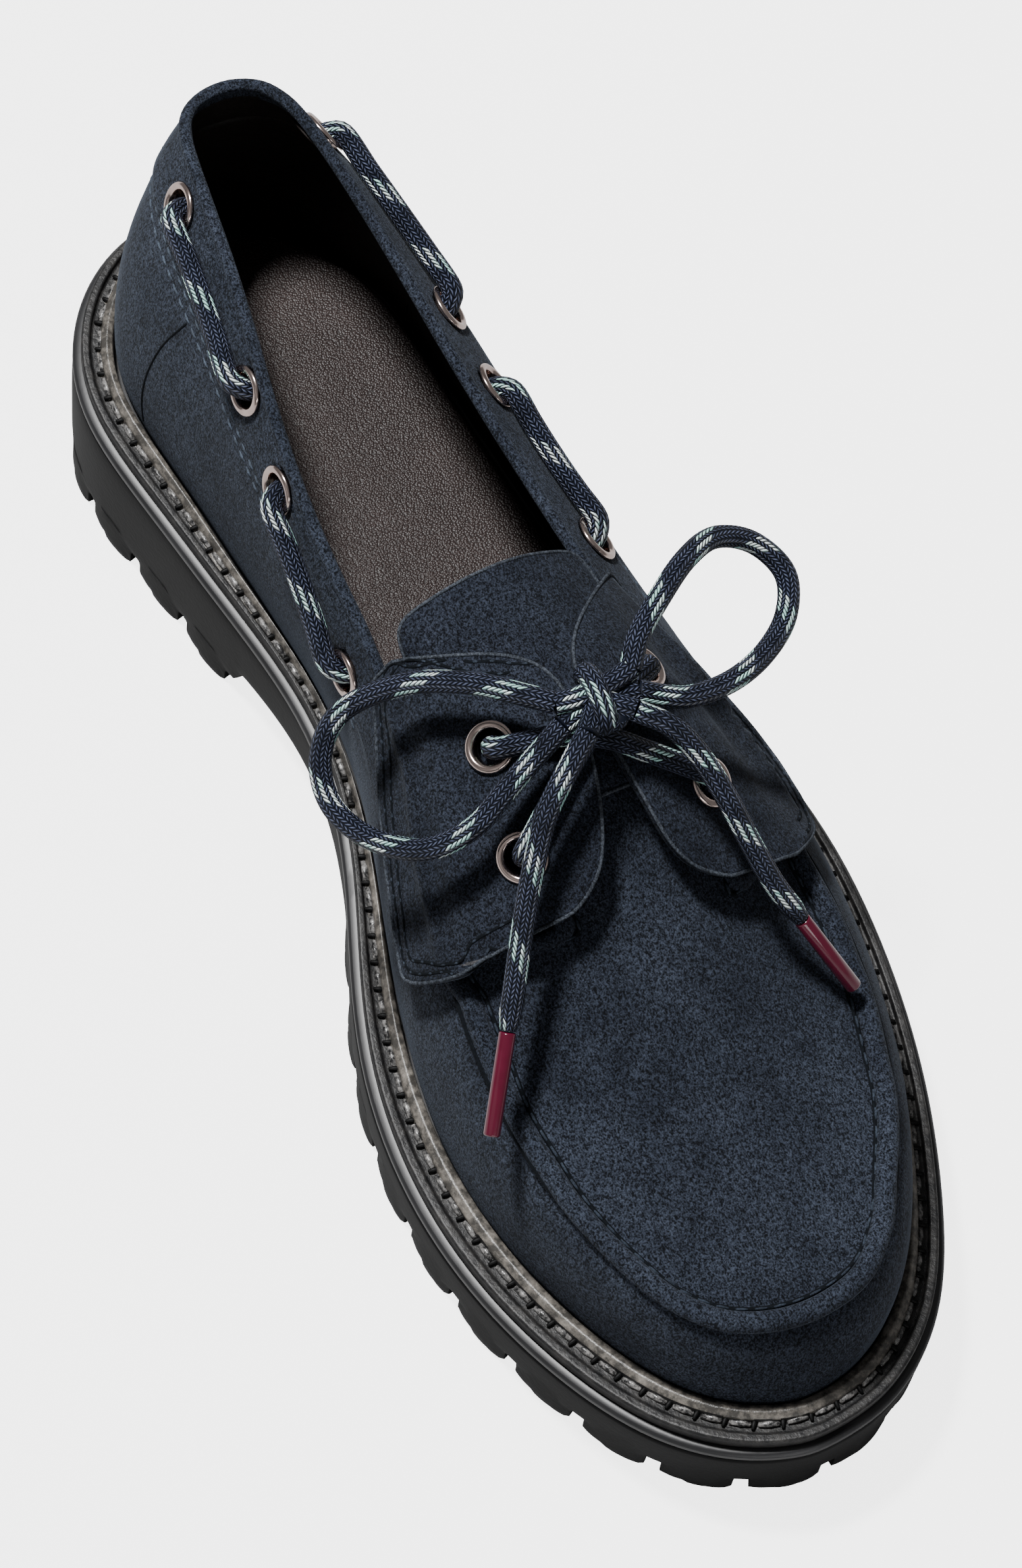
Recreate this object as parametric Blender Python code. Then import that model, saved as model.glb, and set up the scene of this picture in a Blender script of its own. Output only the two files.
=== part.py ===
"""Left lug-soled boat loafer, one shoe, standing empty on its sole.

Toe along +X, +Z up, the outer (lateral) side of the foot on +Y. The origin lies on the floor, under the
middle of the sole. Lengths below are in millimetres; make_object() turns them into metres.

A "station" is a distance from the back of the heel along the shoe. The outline of the sole is one closed
spline round the shoe, and every other ring (welt, foot of the upper, top line) is worked out from it, so a
place on the shoe is a ring position, in millimetres of outline from the heel, and a height on the wall.
"""
import math
from collections import namedtuple

import bmesh
import bpy
import numpy as np
from mathutils import Matrix, Vector

MM = 0.001
LENGTH = 280.0  # outline of the sole, heel to toe
GAP = 0.3  # between neighbouring pieces
LATERAL, MEDIAL = 1, -1

# sole unit, from the top of the welt down
WELT_THICKNESS = 3.0
WELT_INSET = 1.0  # from the edge of the sole to the welt's edge
MIDSOLE_THICKNESS = 2.6
MIDSOLE_OUTSET = 0.6
RUBBER_TOP = WELT_THICKNESS + MIDSOLE_THICKNESS + 2 * GAP  # below the welt's top
LUG_HEIGHT = 4.0
LUG_PITCH = 16.4
LUG_GAP = 3.0
LUG_REACH = 17.0  # how far an edge lug runs in under the sole
LUG_TOP = 8.5  # height of a lug's face on the side of the sole
LUG_INSET = 0.1
BREAST = 84.5  # front of the heel block
SHANK_END = 138.0  # where the forefoot lugs start
SPRING_START = 203.0
TOE_SPRING = 5.5

# upper
WALL = 2.0
CUFF_WIDTH = 19.0  # the band round the collar
CUFF_STEP = 0.7
RIDGE_HEIGHT = 2.0  # the raised seam of the apron
THROAT = 139.0  # station of the front edge of the collar opening
RIDGE_START = 166.0
INSOLE_THICKNESS = 3.4
SHEET = 2.0  # tongue and flaps

# lacing
LACE = 4.2
EYELET_HOLE = 3.3
EYELET_BARREL = 3.9
EYELET_RIM = 4.9
EYELET_SEAT = 0.7  # the flat flange's height over the curved leather
AGLET = 3.1

# One row for each section of one side, from the heel to the toe. edge: the sole's edge; welt: width of the
# strip from there to the foot of the upper; bulge: how far the wall swells over it. top, side, height: the
# upper's top line, the collar's edge as far as the throat and the apron's seam in front of it. out, down:
# how far the wall stands outside and below that line just before it gets there.
Section = namedtuple("Section", "station edge welt bulge top side height out down")
LATERAL_SECTIONS = [
    Section(0.0, 0.0, 7.5, 3.0, 12.0, 0.0, 94.5, 5.5, 20.0),
    Section(6.0, 18.0, 7.5, 3.5, 15.0, 6.5, 95.5, 6.5, 18.0),
    Section(30.0, 35.4, 7.5, 4.5, 31.0, 11.0, 96.5, 8.5, 14.0),
    Section(55.0, 38.6, 7.5, 5.0, 56.0, 13.5, 92.0, 11.0, 12.0),
    Section(80.0, 40.2, 7.0, 5.5, 81.0, 15.5, 86.0, 11.5, 11.0),
    Section(108.0, 43.2, 6.5, 6.0, 108.0, 18.5, 79.5, 11.5, 10.0),
    Section(136.0, 48.6, 7.0, 5.0, 133.0, 22.0, 75.0, 10.5, 9.0),
    Section(165.0, 54.6, 7.5, 4.0, 163.0, 30.5, 65.0, 8.0, 8.0),
    Section(194.0, 53.6, 7.5, 2.5, 193.0, 34.5, 57.5, 6.5, 6.0),
    Section(224.0, 46.4, 7.5, 1.5, 221.0, 31.5, 53.0, 7.0, 4.5),
    Section(249.0, 35.6, 8.0, 1.5, 245.5, 21.5, 50.4, 7.0, 3.0),
    Section(268.0, 22.6, 8.6, 1.5, 258.5, 10.5, 49.4, 6.5, 2.0),
    Section(280.0, -7.5, 9.0, 1.5, 263.0, -4.0, 49.0, 6.0, 1.5),
]
MEDIAL_SECTIONS = [
    LATERAL_SECTIONS[0],
    Section(5.0, -19.4, 8.0, 3.5, 15.0, -7.5, 96.0, 6.5, 18.0),
    Section(30.0, -36.2, 8.0, 4.5, 31.0, -13.0, 98.0, 8.0, 16.0),
    Section(55.0, -34.3, 7.5, 4.5, 56.0, -17.0, 96.0, 8.0, 14.0),
    Section(80.0, -30.4, 5.8, 4.5, 81.0, -21.5, 91.0, 6.0, 14.0),
    Section(108.0, -26.4, 4.8, 5.0, 108.0, -23.5, 84.0, 6.5, 14.0),
    Section(136.0, -31.4, 5.5, 4.5, 133.0, -24.5, 78.0, 7.0, 12.0),
    Section(165.0, -44.4, 8.2, 4.0, 163.0, -31.5, 67.0, 6.0, 8.0),
    Section(194.0, -51.0, 9.0, 2.0, 193.0, -36.5, 57.5, 6.0, 6.0),
    Section(224.0, -49.4, 9.2, 1.5, 221.0, -36.5, 53.0, 7.0, 4.5),
    Section(249.0, -41.8, 9.2, 1.5, 245.0, -30.0, 50.4, 7.0, 3.0),
    Section(268.0, -30.3, 9.2, 1.5, 258.5, -20.0, 49.4, 6.5, 2.0),
    LATERAL_SECTIONS[-1],
]

# One row for each station along the middle. rim: height of the welt's top; crown: how much the instep rises
# between its two top lines.
Middle = namedtuple("Middle", "station rim crown")
MIDDLE_LINE = [
    Middle(0.0, 38.5, 0.0),
    Middle(30.0, 37.2, 0.0),
    Middle(55.0, 35.6, 0.0),
    Middle(80.0, 33.6, 6.0),
    Middle(108.0, 30.6, 9.0),
    Middle(136.0, 27.4, 14.0),
    Middle(165.0, 24.2, 23.5),
    Middle(194.0, 22.0, 14.0),
    Middle(224.0, 22.2, 7.0),
    Middle(249.0, 23.8, 2.8),
    Middle(268.0, 25.8, 0.8),
    Middle(280.0, 27.4, 0.0),
]

# One row for each line across a flap, from its back edge at the throat to its free front edge. start and end
# are distances from the top line, down the wall (negative) and in over the instep (positive). lift: how far
# the leather curls up there.
FlapRow = namedtuple("FlapRow", "station start end lift")
FLAPS = {
    "medial": [
        FlapRow(132.5, -1.0, 3.5, 0.4),
        FlapRow(140.0, -5.0, 13.0, 0.4),
        FlapRow(148.0, -9.0, 24.0, 0.4),
        FlapRow(156.0, -12.0, 28.0, 0.4),
        FlapRow(164.0, -14.0, 29.5, 0.6),
        FlapRow(171.0, -15.0, 29.5, 1.0),
        FlapRow(177.0, -13.5, 28.5, 1.8),
        FlapRow(181.0, -7.0, 27.0, 2.6),
        FlapRow(184.5, 3.0, 22.0, 3.2),
    ],
    "lateral": [
        FlapRow(132.5, -1.0, 3.5, 0.4),
        FlapRow(140.0, -5.0, 13.0, 0.4),
        FlapRow(148.0, -9.0, 23.0, 0.4),
        FlapRow(156.0, -12.0, 27.5, 0.4),
        FlapRow(165.0, -13.0, 29.5, 0.6),
        FlapRow(173.0, -11.0, 30.0, 1.0),
        FlapRow(181.0, -6.0, 30.0, 1.8),
        FlapRow(186.0, 1.0, 28.0, 2.6),
        FlapRow(189.5, 10.0, 23.0, 3.2),
    ],
}

# Eyelets: station and distance from the top line, as above.
Eyelet = namedtuple("Eyelet", "station offset")
COLLAR_EYELETS = {
    "medial": [Eyelet(30.0, -9.5), Eyelet(68.0, -8.5), Eyelet(87.0, -9.0), Eyelet(124.0, -14.0)],
    "lateral": [Eyelet(26.0, -9.0), Eyelet(66.0, -11.0), Eyelet(83.0, -10.5), Eyelet(119.0, -11.5)],
}
FLAP_EYELETS = {
    "medial": [Eyelet(158.0, 15.5), Eyelet(174.0, 16.5)],
    "lateral": [Eyelet(156.0, 16.5), Eyelet(175.0, 18.5)],
}


# ---------------------------------------------------------------- curves

class RingSpline:
    """A closed smooth curve through rows of values, one row at each knot; the knots are ring positions."""

    def __init__(self, knots, period, rows):
        self.knots = np.append(knots, period)
        self.period = period
        self.rows = np.array(rows, float)
        count = len(rows)
        step = np.diff(self.knots)
        system = np.zeros((count, count))
        right = np.zeros_like(self.rows)
        for i in range(count):
            before, after = step[i - 1], step[i]
            system[i, i - 1] += before
            system[i, i] += 2 * (before + after)
            system[i, (i + 1) % count] += after
            slope_after = (self.rows[(i + 1) % count] - self.rows[i]) / after
            slope_before = (self.rows[i] - self.rows[i - 1]) / before
            right[i] = 6 * (slope_after - slope_before)
        self.bend = np.linalg.solve(system, right)

    def __call__(self, position):
        position = position % self.period
        i = min(int(np.searchsorted(self.knots, position, side="right")) - 1, len(self.rows) - 1)
        j = (i + 1) % len(self.rows)
        step = self.knots[i + 1] - self.knots[i]
        b = (position - self.knots[i]) / step
        a = 1 - b
        cubic = ((a ** 3 - a) * self.bend[i] + (b ** 3 - b) * self.bend[j]) * step * step / 6
        return a * self.rows[i] + b * self.rows[j] + cubic


def through(table_x, table_y, x):
    """A smooth curve through a table, with level ends."""
    slopes = np.gradient(table_y, table_x)
    i = int(np.clip(np.searchsorted(table_x, x) - 1, 0, len(table_x) - 2))
    step = table_x[i + 1] - table_x[i]
    u = min(max((x - table_x[i]) / step, 0.0), 1.0)
    return (table_y[i] * (2 * u ** 3 - 3 * u ** 2 + 1) + table_y[i + 1] * (3 * u ** 2 - 2 * u ** 3)
            + step * (slopes[i] * (u ** 3 - 2 * u ** 2 + u) + slopes[i + 1] * (u ** 3 - u ** 2)))


def ease(low, high, x):
    """0 below low, 1 above high, and a smooth step between."""
    u = min(max((x - low) / (high - low), 0.0), 1.0)
    return u * u * (3 - 2 * u)


def make_rings():
    """The ring spline and the ring position of the toe."""
    rows = [tuple(row) for row in LATERAL_SECTIONS + MEDIAL_SECTIONS[-2:0:-1]]
    edge = np.array([row[:2] for row in rows + rows[:1]])
    lengths = np.hypot(*np.diff(edge, axis=0).T)
    knots = np.concatenate([[0.0], np.cumsum(lengths)])
    return RingSpline(knots[:-1], knots[-1], rows), knots[len(LATERAL_SECTIONS) - 1]


RING, TOE = make_rings()
STATIONS = np.array([row.station for row in MIDDLE_LINE])
RIMS = np.array([row.rim for row in MIDDLE_LINE])
CROWNS = np.array([row.crown for row in MIDDLE_LINE])


def ring_position(station, side):
    """The ring position where the sole's edge passes a station, on one side."""
    low, high = (0.0, TOE) if side == LATERAL else (RING.period, TOE)
    for _ in range(40):
        middle = (low + high) / 2
        if RING(middle)[0] < station:
            low = middle
        else:
            high = middle
    return (low + high) / 2


def outward(position):
    """The horizontal direction away from the shoe, square to the sole's edge."""
    ahead = RING(position + 0.5)[:2] - RING(position - 0.5)[:2]
    return Vector((ahead[1], -ahead[0], 0.0)).normalized() * -1.0


def rim_height(station):
    return through(STATIONS, RIMS, station)


def edge_point(position, inset, drop=0.0):
    """A point inset from the sole's edge, and drop below the welt's top."""
    station, side = RING(position)[:2]
    flat = Vector((station, side, 0.0)) - outward(position) * inset
    flat.z = rim_height(flat.x) - drop
    return flat


def section_at(position):
    """All the values of a section at any place round the shoe."""
    return Section(*RING(position))


def top_point(position):
    here = section_at(position)
    return Vector((here.top, here.side, here.height))


def wall_point(position, v):
    """The upper's outer face: v runs from 0 at its foot to 1 at its top line."""
    here = section_at(position)
    foot = edge_point(position, here.welt, WELT_THICKNESS)
    top = top_point(position)
    away = outward(position)
    first = foot + away * here.bulge + Vector((0, 0, 0.4 * (top.z - foot.z)))
    second = top + away * here.out - Vector((0, 0, here.down))
    a = 1 - v
    return foot * a ** 3 + first * (3 * a * a * v) + second * (3 * a * v * v) + top * v ** 3


def wall_at_height(position, height):
    low, high = 0.0, 1.0
    for _ in range(20):
        middle = (low + high) / 2
        if wall_point(position, middle).z < height:
            low = middle
        else:
            high = middle
    return wall_point(position, middle)


def wall_length(position):
    points = [wall_point(position, i / 12) for i in range(13)]
    return sum((q - p).length for p, q in zip(points, points[1:]))


def crown_point(station, w):
    """The instep between its medial (w = 0) and lateral (w = 1) top line."""
    start = top_point(ring_position(station, MEDIAL))
    end = top_point(ring_position(station, LATERAL))
    point = start.lerp(end, w)
    point.z += through(STATIONS, CROWNS, station) * (1 - (2 * w - 1) ** 2)
    return point


def skin(station, side, offset):
    """The upper's outer face at a distance from the top line: down the wall, or in over the instep."""
    position = ring_position(station, side)
    if offset < 0:
        return wall_point(position, 1 + offset / wall_length(position))
    start = top_point(ring_position(station, MEDIAL))
    end = top_point(ring_position(station, LATERAL))
    w = offset / (end - start).length
    return crown_point(station, w if side == MEDIAL else 1 - w)


def skin_normal(station, side, offset, reach=2.0):
    along = skin(station + reach, side, offset) - skin(station - reach, side, offset)
    across = skin(station, side, offset + reach) - skin(station, side, offset - reach)
    return along.cross(across).normalized() * -side


def lifted(station, side, offset, lift):
    return skin(station, side, offset) + skin_normal(station, side, offset) * lift


# ---------------------------------------------------------------- meshes

def clear_scene():
    for item in list(bpy.data.objects):
        bpy.data.objects.remove(item, do_unlink=True)


def finish(name, colour, roughness, metallic=0.0):
    """A plain material with the piece's colour."""
    material = bpy.data.materials.get(name) or bpy.data.materials.new(name)
    material.use_nodes = True
    shader = material.node_tree.nodes["Principled BSDF"]
    shader.inputs["Base Color"].default_value = (*colour, 1.0)
    shader.inputs["Roughness"].default_value = roughness
    shader.inputs["Metallic"].default_value = metallic
    material.diffuse_color = (*colour, 1.0)
    return material


MIDDLE = 0.0  # set by centre_across(): the middle of the sole's width


def centre_across():
    """The middle between the sole's widest points, so that the shoe's box is centred on the origin."""
    sides = [RING(RING.period * i / 400)[1] for i in range(400)]
    return (max(sides) + min(sides)) / 2


MIDDLE = centre_across()


def place(point):
    """From station, side and height in millimetres to the part's own frame in metres."""
    return Vector(((point[0] - LENGTH / 2) * MM, (point[1] - MIDDLE) * MM, point[2] * MM))


def make_object(name, points, faces, material, smooth=True):
    """A mesh object; the points are in millimetres."""
    mesh = bpy.data.meshes.new(name)
    mesh.from_pydata([place(p) for p in points], [], faces)
    mesh.update()
    item = bpy.data.objects.new(name, mesh)
    bpy.context.scene.collection.objects.link(item)
    item.data.materials.append(material)
    if smooth:
        mesh.shade_smooth()
        mesh.set_sharp_from_angle(angle=math.radians(40))
    return item


def as_cutter(item):
    item.hide_render = True
    item.display_type = "WIRE"
    return item


def boolean(item, other, operation):
    change = item.modifiers.new(operation.title(), "BOOLEAN")
    change.operation = operation
    change.solver = "EXACT"
    change.object = other
    as_cutter(other)


def solidify(item, thickness):
    """Gives a surface its thickness on the inner side."""
    change = item.modifiers.new("Thickness", "SOLIDIFY")
    change.thickness = thickness * MM
    change.offset = -1.0
    change.use_even_offset = True
    change.thickness_clamp = 1.0


HALF_COLUMNS = 26


def side_positions(side, start=0, count=HALF_COLUMNS):
    """Ring positions from the heel (0) to the toe (count) on one side, closer together at both ends."""
    found = []
    for k in range(start, count + 1):
        station = LENGTH / 2 * (1 - math.cos(math.pi * k / count))
        if k == 0:
            found.append(0.0 if side == LATERAL else RING.period)
        elif k == count:
            found.append(TOE)
        else:
            found.append(ring_position(station, side))
    return found


def loop_positions():
    """Ring positions all round: up the lateral side, round the toe and back down the medial side."""
    lateral = side_positions(LATERAL)
    medial = side_positions(MEDIAL)
    return lateral + medial[-2:0:-1]


def ladder(first, count, flip):
    """Faces that close a ring of points, with one rung for each pair of points across the shoe."""
    half = count // 2
    faces = []
    for k in range(half):
        a, b = first + k, first + k + 1
        c, d = first + (count - k - 1) % count, first + (count - k) % count
        face = [a, b, c, d]
        face = [v for i, v in enumerate(face) if v not in face[:i]]
        faces.append(face[::-1] if flip else face)
    return faces


def lofted(name, rings, material, closed_ends=True):
    """A solid through rings of equal count, listed from the bottom up; the rings run anticlockwise."""
    count = len(rings[0])
    points = [p for ring in rings for p in ring]
    faces = []
    levels = len(rings)
    for level in range(levels - 1 if closed_ends else levels):
        low, high = level * count, (level + 1) % levels * count
        for i in range(count):
            j = (i + 1) % count
            faces.append([low + i, high + i, high + j, low + j])
    if closed_ends:
        faces += ladder(0, count, False)
        faces += ladder((levels - 1) * count, count, True)
    item = make_object(name, points, faces, material)
    face_outwards(item)
    return item


def face_outwards(item):
    """Turns the faces of a closed mesh outwards."""
    work = bmesh.new()
    work.from_mesh(item.data)
    bmesh.ops.recalc_face_normals(work, faces=work.faces)
    if work.calc_volume(signed=True) < 0:
        bmesh.ops.reverse_faces(work, faces=work.faces)
    work.to_mesh(item.data)
    work.free()


# ---------------------------------------------------------------- sole

def tread_height(station):
    """The underside of the lugs: level under heel and ball, rising to the toe."""
    rise = max(station - SPRING_START, 0.0) / (LENGTH - SPRING_START)
    return TOE_SPRING * rise * rise


def web_height(station):
    """The underside of the rubber between the lugs, with the arch behind the forefoot."""
    arch = 5.5 * (1 - ease(SHANK_END - 40, SHANK_END + 8, station)) * ease(BREAST, BREAST + 2.5, station)
    return tread_height(station) + LUG_HEIGHT + arch


def make_outsole(rubber):
    lateral = sorted([LENGTH / 2 * (1 - math.cos(math.pi * k / 40)) for k in range(1, 40)]
                     + [BREAST, BREAST + 2.5])
    positions = ([0.0] + [ring_position(s, LATERAL) for s in lateral] + [TOE]
                 + [ring_position(s, MEDIAL) for s in reversed(lateral)])
    levels = ((1.0, None), (0.3, 0.12), (0.0, 0.4), (-0.3, 0.75), (-0.3, 0.94), (0.1, 1.0))
    rings = []
    for inset, share in levels:
        ring = []
        for position in positions:
            point = edge_point(position, inset, RUBBER_TOP)
            bottom = web_height(RING(position)[0])
            point.z = bottom if share is None else bottom + (point.z - bottom) * share
            ring.append(point)
        rings.append(ring)
    sole = lofted("outsole", rings, rubber)
    boolean(sole, make_lugs(rubber), "UNION")
    return sole


def prism(points, faces, outline, bottom, top):
    """Adds an upright block with an outline of (station, side) points; the heights are functions."""
    first = len(points)
    count = len(outline)
    points += [(x, y, bottom(x)) for x, y in outline]
    points += [(x, y, top(x)) for x, y in outline]
    faces.append([first + i for i in range(count)])
    faces.append([first + count + i for i in reversed(range(count))])
    for i in range(count):
        j = (i + 1) % count
        faces.append([first + i, first + count + i, first + count + j, first + j])


def edge_lugs(points, faces, start, end, count):
    """Lugs round the edge between two ring positions, each with a swelling outer face."""
    pitch = (end - start) / count
    for k in range(count):
        low, high = start + pitch * k + LUG_GAP / 2, start + pitch * (k + 1) - LUG_GAP / 2
        outline = []
        for u in (0.0, 0.3, 0.7, 1.0):
            corner = 0.0 if 0 < u < 1 else 0.6
            outline.append(edge_point(low + (high - low) * u, LUG_INSET + corner)[:2])
        for u in (0.85, 0.15):
            outline.append(edge_point(low + (high - low) * u, LUG_REACH)[:2])
        prism(points, faces, outline, tread_height, lambda x: tread_height(x) + LUG_TOP)


def cross_lugs(points, faces, stations, arm_along, arm_across):
    """Crosses along the middle of the sole."""
    half = 3.4
    for station in stations:
        low, high = RING(ring_position(station, MEDIAL))[1], RING(ring_position(station, LATERAL))[1]
        middle = (low + high) / 2
        reach = min(arm_across, (high - low) / 2 - LUG_REACH - 4.0)
        corner = [(half, half), (arm_along, half), (arm_along, -half), (half, -half),
                  (half, -reach), (-half, -reach), (-half, -half), (-arm_along, -half),
                  (-arm_along, half), (-half, half), (-half, reach), (half, reach)]
        outline = [(station + x, middle + y) for x, y in corner]
        prism(points, faces, outline, tread_height, lambda x: tread_height(x) + LUG_HEIGHT + 1.5)


def make_lugs(rubber):
    """All the lugs as one set of blocks, to be joined to the sole."""
    points, faces = [], []
    heel_in, heel_out = ring_position(BREAST - 1.0, MEDIAL), ring_position(BREAST - 1.0, LATERAL)
    heel_length = heel_out + RING.period - heel_in
    edge_lugs(points, faces, heel_in - RING.period, heel_out, round(heel_length / LUG_PITCH))
    fore_out, fore_in = ring_position(SHANK_END, LATERAL), ring_position(SHANK_END, MEDIAL)
    edge_lugs(points, faces, fore_out, fore_in, round((fore_in - fore_out) / LUG_PITCH))
    cross_lugs(points, faces, [34.0, 57.0], 7.5, 14.0)
    cross_lugs(points, faces, [157.0, 176.0, 195.0, 214.0, 233.0], 6.5, 24.0)
    lugs = make_object("lug_blocks", points, faces, rubber)
    face_outwards(lugs)
    return lugs


def make_midsole(polish):
    levels = ((0.7, MIDSOLE_THICKNESS), (0.0, MIDSOLE_THICKNESS - 0.7), (0.0, 0.7), (0.7, 0.0))
    rings = [[edge_point(p, inset - MIDSOLE_OUTSET, WELT_THICKNESS + GAP + drop) for p in loop_positions()]
             for inset, drop in levels]
    return lofted("midsole", rings, polish)


def make_welt(leather):
    """A strip round the shoe: flat outer band, a groove for the stitches, and a bead against the upper."""
    profile = ((0.0, WELT_THICKNESS), (0.0, 0.3), (0.05, 0.0), (0.24, 0.0), (0.28, 1.1), (0.54, 1.1),
               (0.58, -0.6), (0.74, -1.5))
    rings = []
    for share, drop in profile:
        ring = []
        for position in loop_positions():
            width = section_at(position).welt - GAP - WELT_INSET
            ring.append(edge_point(position, WELT_INSET + share * width, drop))
        rings.append(ring)
    for rise in (WELT_THICKNESS + 1.0, 0.0):
        rings.append([wall_at_height(p, wall_point(p, 0).z + rise) + outward(p) * 0.35 for p in loop_positions()])
    return lofted("welt", rings, leather, closed_ends=False)


def make_insole(leather):
    inset = WALL + 2 * GAP
    levels = ((inset, 0.0), (inset, INSOLE_THICKNESS - 0.5), (inset + 0.7, INSOLE_THICKNESS))
    rings = [[edge_point(p, section_at(p).welt + i, WELT_THICKNESS - rise) for p in loop_positions()]
             for i, rise in levels]
    return lofted("insole", rings, leather)


# ---------------------------------------------------------------- upper

def wall_rows(position):
    """The heights of the wall's rows, as v, with how proud each stands of the plain wall."""
    length = wall_length(position)
    station = top_point(position).x
    cuff = CUFF_STEP * (1 - ease(THROAT - 10, THROAT, station))
    ridge = RIDGE_HEIGHT * ease(RIDGE_START, RIDGE_START + 10, station)
    band = 1 - CUFF_WIDTH / length
    rows = [(band * share, 0.0) for share in (0.0, 0.22, 0.45, 0.72, 1.0)]
    rows.append((band + 0.6 / length, cuff))
    for distance, height in ((13.0, 0.0), (7.0, 0.0), (2.4, 0.0), (1.2, 0.75), (0.0, 1.0)):
        rows.append((1 - distance / length, max(cuff, ridge * height)))
    return rows


def plug_columns(width):
    """Places across the apron, from one top line to the other, with the ridge's height at each."""
    half = width / 2
    inner = max(half - 2.4, 0.5)
    side = [(1.2, 0.75), (2.4, 0.0)] + [(2.4 + inner * share, 0.0) for share in (0.2, 0.5)]
    side = [(min(d, half * 0.9), h) for d, h in side]
    across = [(d / width, h) for d, h in side] + [(0.5, 0.0)]
    return across + [(1 - d / width, h) for d, h in reversed(side)]


def make_upper(suede):
    """One hollow wall round the foot, with the apron and instep over the front and the collar open."""
    positions = loop_positions()
    count = len(positions)
    points, proud, faces = [], [], []
    rows = len(wall_rows(positions[0]))
    for position in positions:
        for v, height in wall_rows(position):
            points.append(wall_point(position, v))
            proud.append(height)
    for i in range(count):
        for row in range(rows - 1):
            low, high = i * rows + row, (i + 1) % count * rows + row
            faces.append([low, high, high + 1, low + 1])

    # the apron: one strip of faces between each pair of stations, from the throat to the toe
    half = count // 2
    stations = [LENGTH / 2 * (1 - math.cos(math.pi * k / half)) for k in range(half + 1)]
    first = min(k for k in range(half) if stations[k] > THROAT)
    strips = []
    for k in range(first, half):
        start = top_point(positions[count - k])
        end = top_point(positions[k])
        ridge = RIDGE_HEIGHT * ease(RIDGE_START, RIDGE_START + 10, start.x)
        strip = [(count - k) * rows + rows - 1]
        for w, height in plug_columns((end - start).length):
            strip.append(len(points))
            points.append(crown_point(stations[k], w))
            proud.append(ridge * height)
        strip.append(k * rows + rows - 1)
        strips.append(strip)
    for near, far in zip(strips, strips[1:]):
        for a in range(len(near) - 1):
            faces.append([near[a], near[a + 1], far[a + 1], far[a]])
    tip = half * rows + rows - 1
    for a in range(len(strips[-1]) - 1):
        faces.append([strips[-1][a], strips[-1][a + 1], tip])

    upper = make_object("upper", points, faces, suede)
    work = bmesh.new()
    work.from_mesh(upper.data)
    bmesh.ops.recalc_face_normals(work, faces=work.faces)
    side_face = max(work.faces, key=lambda face: face.calc_center_median().y)
    if side_face.normal.y < 0:
        bmesh.ops.reverse_faces(work, faces=work.faces)
    work.normal_update()
    moves = [v.normal * height * MM for v, height in zip(work.verts, proud)]
    for v, move in zip(work.verts, moves):
        v.co += move
    work.to_mesh(upper.data)
    work.free()
    solidify(upper, WALL)
    cutters = [(e, side, CUFF_STEP) for side in COLLAR_EYELETS for e in COLLAR_EYELETS[side]]
    boolean(upper, make_punch("collar_punch", cutters, suede), "DIFFERENCE")
    return upper


def eyelet_frame(eyelet, side, lift):
    """The turn and place of an eyelet that lies on the skin, raised by lift."""
    sign = LATERAL if side == "lateral" else MEDIAL
    normal = skin_normal(eyelet.station, sign, eyelet.offset, 3.0)
    centre = lifted(eyelet.station, sign, eyelet.offset, lift)
    turn = normal.to_track_quat("Z", "Y").to_matrix().to_4x4()
    return Matrix.Translation(centre) @ turn


def make_punch(name, holes, material):
    """Round cutters for eyelet holes, as one object."""
    points, faces = [], []
    sides = 10
    for eyelet, side, lift in holes:
        frame = eyelet_frame(eyelet, side, lift)
        first = len(points)
        for height in (-5.0, 3.0):
            for i in range(sides):
                angle = 2 * math.pi * i / sides
                radius = EYELET_BARREL + GAP
                points.append(frame @ Vector((radius * math.cos(angle), radius * math.sin(angle), height)))
        faces.append([first + i for i in reversed(range(sides))])
        faces.append([first + sides + i for i in range(sides)])
        for i in range(sides):
            j = (i + 1) % sides
            faces.append([first + i, first + j, first + sides + j, first + sides + i])
    punch = make_object(name, points, faces, material)
    face_outwards(punch)
    return punch


def make_eyelet(name, eyelet, side, lift, metal):
    """A turned ring with a barrel through the leather and a rolled flange over it."""
    profile = ((EYELET_HOLE, -WALL - 0.1), (EYELET_BARREL, -WALL - 0.1), (EYELET_BARREL, EYELET_SEAT),
               (EYELET_RIM, EYELET_SEAT), (EYELET_RIM - 0.4, EYELET_SEAT + 0.8), (EYELET_HOLE, EYELET_SEAT + 0.6))
    frame = eyelet_frame(eyelet, side, lift)
    sides = 10
    points = [frame @ Vector((r * math.cos(2 * math.pi * i / sides), r * math.sin(2 * math.pi * i / sides), h))
              for r, h in profile for i in range(sides)]
    faces = []
    for level in range(len(profile)):
        low, high = level * sides, (level + 1) % len(profile) * sides
        for i in range(sides):
            j = (i + 1) % sides
            faces.append([low + i, low + j, high + j, high + i])
    ring = make_object(name, points, faces, metal)
    face_outwards(ring)
    return ring


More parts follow.
